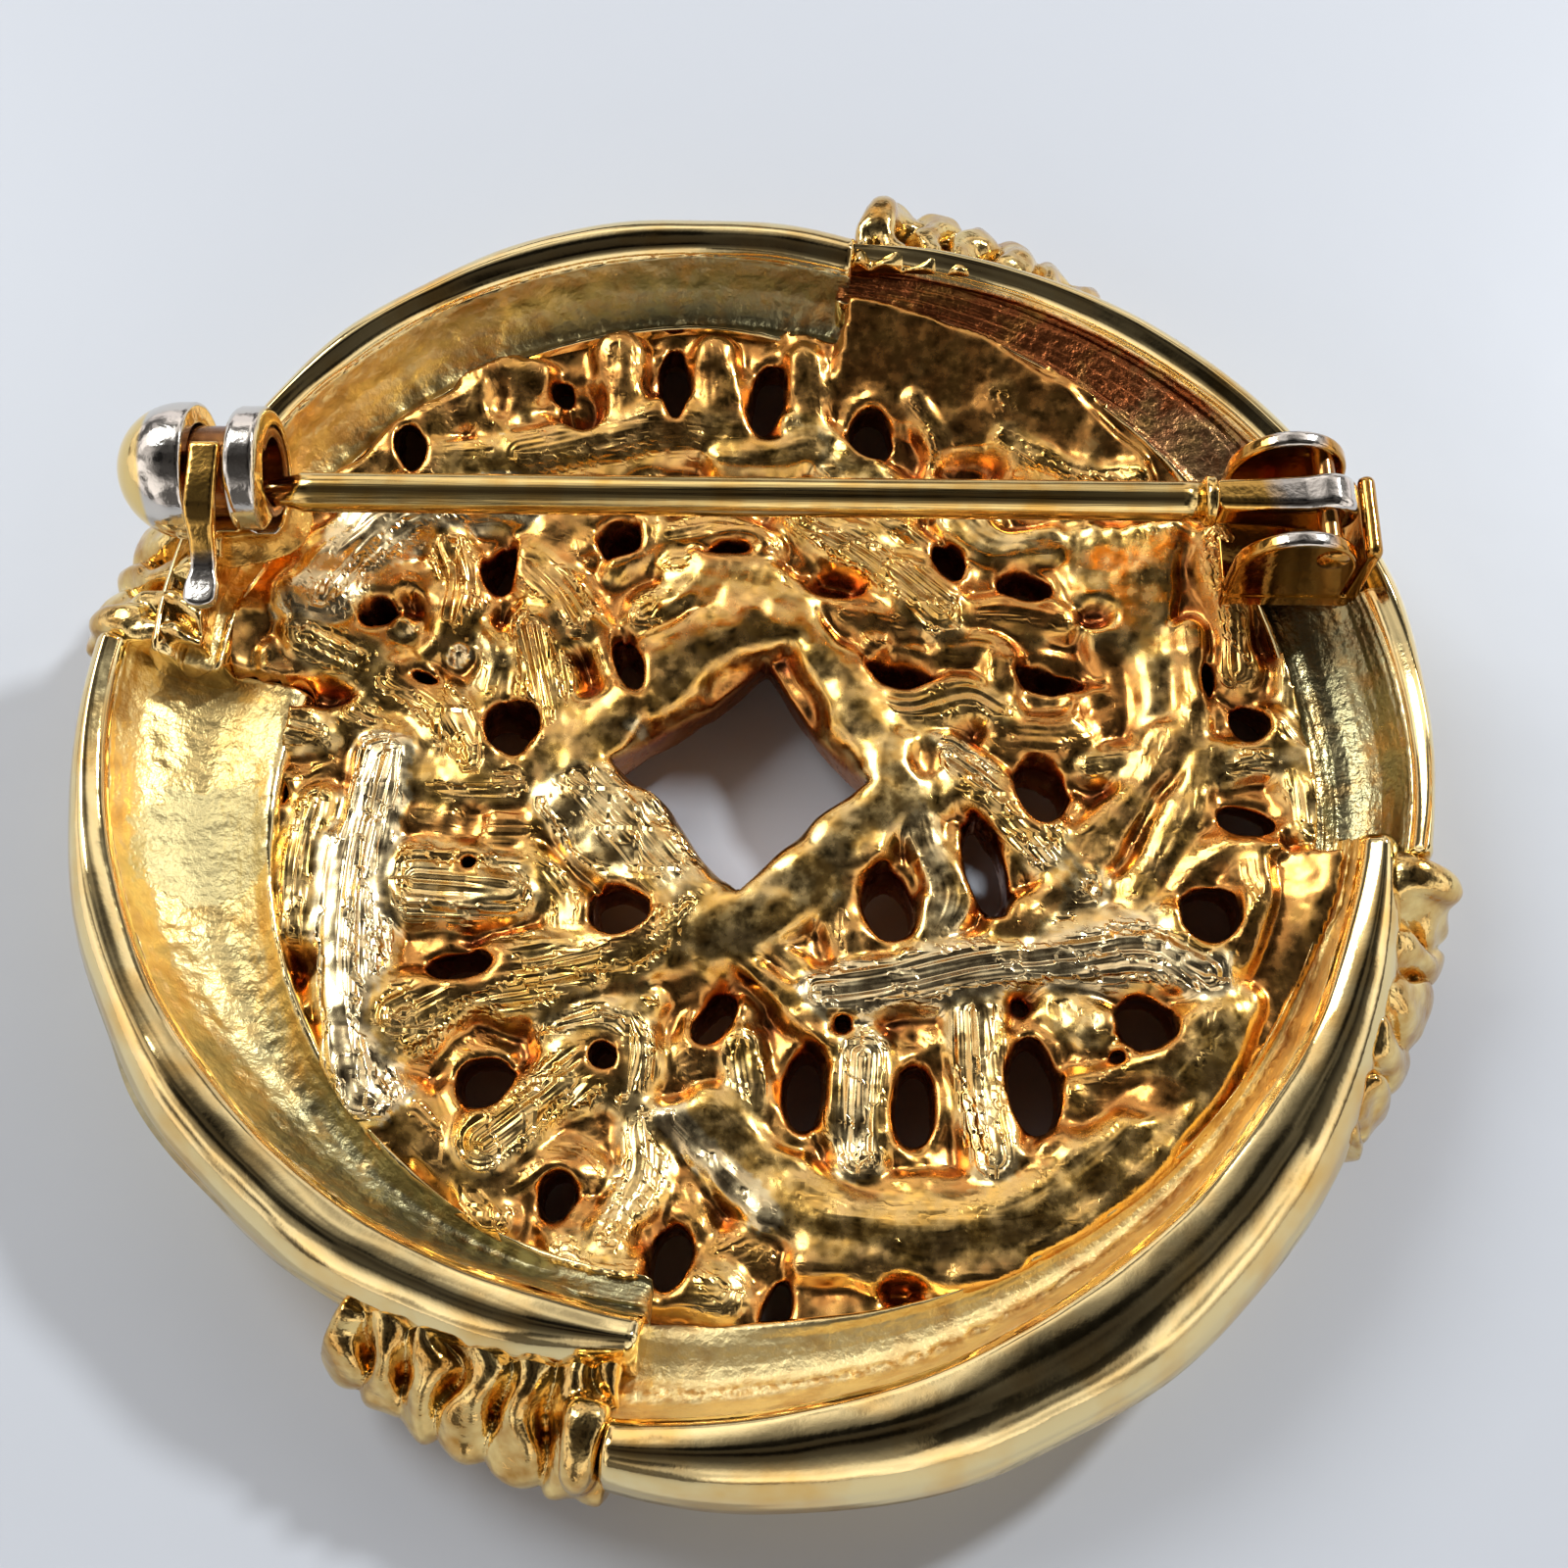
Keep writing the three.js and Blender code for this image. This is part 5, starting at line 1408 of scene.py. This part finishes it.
def stem_knuckle(x, y, z):
    """A round eye whose shank narrows to the collar."""
    eye = np.hypot(x - RIVET_X, z - PIN_Z) - KNUCKLE_R
    shank_x = KNUCKLE_LOW[0]
    t = np.clip((x - shank_x) / (RIVET_X - 0.6 - shank_x), 0, 1)
    shank = np.abs(z - PIN_Z) - (SHANK_HALF + SHANK_GROWTH * t ** 1.5)
    shank = np.maximum(shank, np.maximum(shank_x - x, x - RIVET_X))
    waist = SHANK_WAIST * (1 - t)
    plate = np.abs(y - PIN_Y) - KNUCKLE_HALF + waist
    return smooth_max(smooth_min(eye, shank, 0.3), plate, 0.4)


def turned(name, profile, centre_y, centre_z, segments=64):
    """Profile of (x, radius), turned about a line along X."""
    vertices = []
    faces = []
    for x, radius in profile:
        for i in range(segments):
            angle = 2 * math.pi * i / segments
            vertices.append((x, centre_y + radius * math.cos(angle),
                             centre_z + radius * math.sin(angle)))
    rows = len(profile)
    for row in range(rows - 1):
        for i in range(segments):
            a = row * segments + i
            b = row * segments + (i + 1) % segments
            faces.append((a, a + segments, b + segments, b))
    faces.append([i for i in range(segments)])
    faces.append([(rows - 1) * segments + i for i in reversed(range(segments))])
    piece = make_object(name, vertices, faces)
    face_outwards(piece)
    return piece


STEM_LOW, STEM_HIGH = box_mm("pin_stem")
COLLAR_LOW, COLLAR_HIGH = box_mm("stem_collar")
STEM_R = (STEM_HIGH[2] - STEM_LOW[2]) / 2
COLLAR_R = (COLLAR_HIGH[2] - COLLAR_LOW[2]) / 2

TAPER_X = FACE_X + 0.9
stem_profile = [(STEM_LOW[0], 0.05), (STEM_LOW[0] + 0.05, 0.2), (STEM_LOW[0] + 0.2, 0.32),
                (FACE_X, 0.5), (TAPER_X - 0.3, 0.6), (TAPER_X, STEM_R)]
stem_profile += [(x, STEM_R) for x in np.linspace(TAPER_X + 0.5, STEM_HIGH[0], 40)]
stem = turned("pin_wire", stem_profile, PIN_Y, PIN_Z)
finish_piece(stem, WIRE, "stem", "polished_gold", "pin_stem")

collar_profile = [(COLLAR_LOW[0] - 0.02, STEM_R - 0.02), (COLLAR_LOW[0], STEM_R + 0.04),
                  (COLLAR_LOW[0] + 0.1, STEM_R + 0.2), (COLLAR_HIGH[0] - 0.14, COLLAR_R - 0.03),
                  (COLLAR_HIGH[0] - 0.06, COLLAR_R), (COLLAR_HIGH[0], COLLAR_R - 0.05),
                  (COLLAR_HIGH[0] + 0.04, COLLAR_R - 0.2)]
collar = turned("cone_collar", collar_profile, PIN_Y, PIN_Z)
finish_piece(collar, POLISHED, "stem", "polished_gold", "stem_collar")

KNUCKLE_LOOK = worn_material("nickel_wear_knuckle", 0, [(RIVET_X - 2.4, RIVET_X + 3)], 0.8)
BRACKET_LOOK = worn_material("nickel_wear_bracket", 2, [(EAR_TOP_Z - 0.3, EAR_TOP_Z + 2)], 0.2,
                             DARK_GOLD)
finding("eye_knuckle", "stem_knuckle", stem_knuckle, KNUCKLE_LOOK, "stem", "nickel_wear")
finding("hinge_ears", "hinge_bracket", hinge_bracket, BRACKET_LOOK, "root", "nickel_wear")


def rivet_shape(x, y, z):
    """A shank between two low domed heads."""
    radius = np.hypot(x - RIVET_X, z - PIN_Z)
    reach = np.abs(y - PIN_Y)
    outer = (RIVET_HIGH[1] - RIVET_LOW[1]) / 2
    head = np.hypot(radius, np.clip(reach - outer + RIVET_DOME_R, 0, 9)) - RIVET_DOME_R
    head = smooth_max(head, outer - RIVET_HEAD_HEIGHT - reach, 0.08)
    head = smooth_max(head, radius - RIVET_HEAD_R, 0.1)
    shank = np.maximum(radius - RIVET_R, reach - outer + 0.1)
    return np.minimum(head, shank)


RIVET_LOOK = cast_material("dark_brass_rivet", BRONZE, DARK_GOLD, 0.9, 0.1, 0.25, 0.02)
finding("rivet_pin", "hinge_rivet", rivet_shape, RIVET_LOOK, "root", "polished_gold")


# ---- Floor, light and camera -----------------------------------------------------------
FLOOR_HALF_M = 2.5
FLOOR_COLOUR = (0.68, 0.71, 0.76, 1)


def pale_floor():
    size = FLOOR_HALF_M
    mesh = bpy.data.meshes.new("floor")
    corners = [(-size, -size, 0), (size, -size, 0), (size, size, 0), (-size, size, 0)]
    mesh.from_pydata(corners, [], [(0, 1, 2, 3)])
    floor = add_to_scene("floor", mesh)
    s = Shader("pale_board", roughness=0.45)
    s.bsdf.inputs["Metallic"].default_value = 0.0
    s.bsdf.inputs["Base Color"].default_value = FLOOR_COLOUR
    s.bump([(s.noise(9.0), 0.05)])
    mesh.materials.append(s.material)


KEY = ("key", (0.30, 0.26, 0.32), 0.05, 1.5, (0.92, 0.96, 1.0))
WINDOW_LIGHT = ("window", (-0.35, 0.30, 0.45), 0.30, 1.6, (0.92, 0.97, 1.0))


def area_light(name, place, size, power, colour):
    """A round light at a place in metres, aimed at the brooch."""
    data = bpy.data.lights.new(name, "AREA")
    data.shape = "DISK"
    data.size = size
    data.energy = power
    data.color = colour
    lamp = add_to_scene(name, data)
    lamp.location = place
    lamp.rotation_euler = (-Vector(place)).to_track_quat("-Z", "Y").to_euler()


# Brightness of the room, by how near a direction is to the viewer's, which is at 1
ROOM_LEVELS = ((0.40, 0.85), (0.62, 0.6), (0.76, 0.16), (0.90, 0.04))


def surroundings(dark_direction):
    """A soft pale room, darker where the viewer stands over the brooch."""
    world = bpy.data.worlds.new("soft_room")
    world.use_nodes = True
    tree = world.node_tree
    coordinates = tree.nodes.new("ShaderNodeTexCoord")
    dot = tree.nodes.new("ShaderNodeVectorMath")
    dot.operation = "DOT_PRODUCT"
    dot.inputs[1].default_value = dark_direction
    tree.links.new(coordinates.outputs["Generated"], dot.inputs[0])
    ramp = tree.nodes.new("ShaderNodeValToRGB")
    first, last = ramp.color_ramp.elements
    first.position, first.color = 0.1, (0.60, 0.57, 0.58, 1)
    last.position, last.color = 1.0, (0.02, 0.017, 0.015, 1)
    for position, level in ROOM_LEVELS:
        element = ramp.color_ramp.elements.new(position)
        element.color = (level, level * 0.95, level * 0.93, 1)
    tree.links.new(dot.outputs["Value"], ramp.inputs[0])
    background = tree.nodes["Background"]
    # Bright and dark patches, as of windows and furniture
    patches = tree.nodes.new("ShaderNodeTexNoise")
    patches.inputs["Scale"].default_value = 2.4
    patches.inputs["Detail"].default_value = 1.0
    tree.links.new(coordinates.outputs["Generated"], patches.inputs["Vector"])
    contrast = tree.nodes.new("ShaderNodeMapRange")
    contrast.inputs["From Min"].default_value = 0.42
    contrast.inputs["From Max"].default_value = 0.58
    contrast.inputs["To Min"].default_value = 0.15
    contrast.inputs["To Max"].default_value = 1.7
    tree.links.new(patches.outputs[0], contrast.inputs["Value"])
    tree.links.new(contrast.outputs[0], background.inputs["Strength"])
    tree.links.new(ramp.outputs[0], background.inputs["Color"])
    bpy.context.scene.world = world


# The camera looks down on the brooch from the near side, with a slight roll.
CAMERA_PLACE = Vector((2.21, -23.97, 62.31)) * MM
CAMERA_TARGET = Vector((1.18, -1.72, CREST_Z)) * MM
CAMERA_ROLL = math.radians(1.7)
LENS_MM = 40.39
SENSOR_MM = 36


def camera():
    data = bpy.data.cameras.new("camera")
    data.lens = LENS_MM
    data.sensor_width = SENSOR_MM
    data.clip_start = 0.005
    data.clip_end = 5
    eye = add_to_scene("camera", data)
    forward = (CAMERA_TARGET - CAMERA_PLACE).normalized()
    level_right = forward.cross(Vector((0, 0, 1))).normalized()
    level_up = level_right.cross(forward)
    right = level_right * math.cos(CAMERA_ROLL) - level_up * math.sin(CAMERA_ROLL)
    up = level_right * math.sin(CAMERA_ROLL) + level_up * math.cos(CAMERA_ROLL)
    turn = Matrix((right, up, -forward)).transposed().to_4x4()
    eye.matrix_world = Matrix.Translation(CAMERA_PLACE) @ turn
    bpy.context.scene.camera = eye


VIEWER_DIRECTION = (0.02, -0.25, 0.97)

bpy.context.scene.view_settings.view_transform = "Standard"
pale_floor()
surroundings(VIEWER_DIRECTION)
area_light(*KEY)
area_light(*WINDOW_LIGHT)
camera()
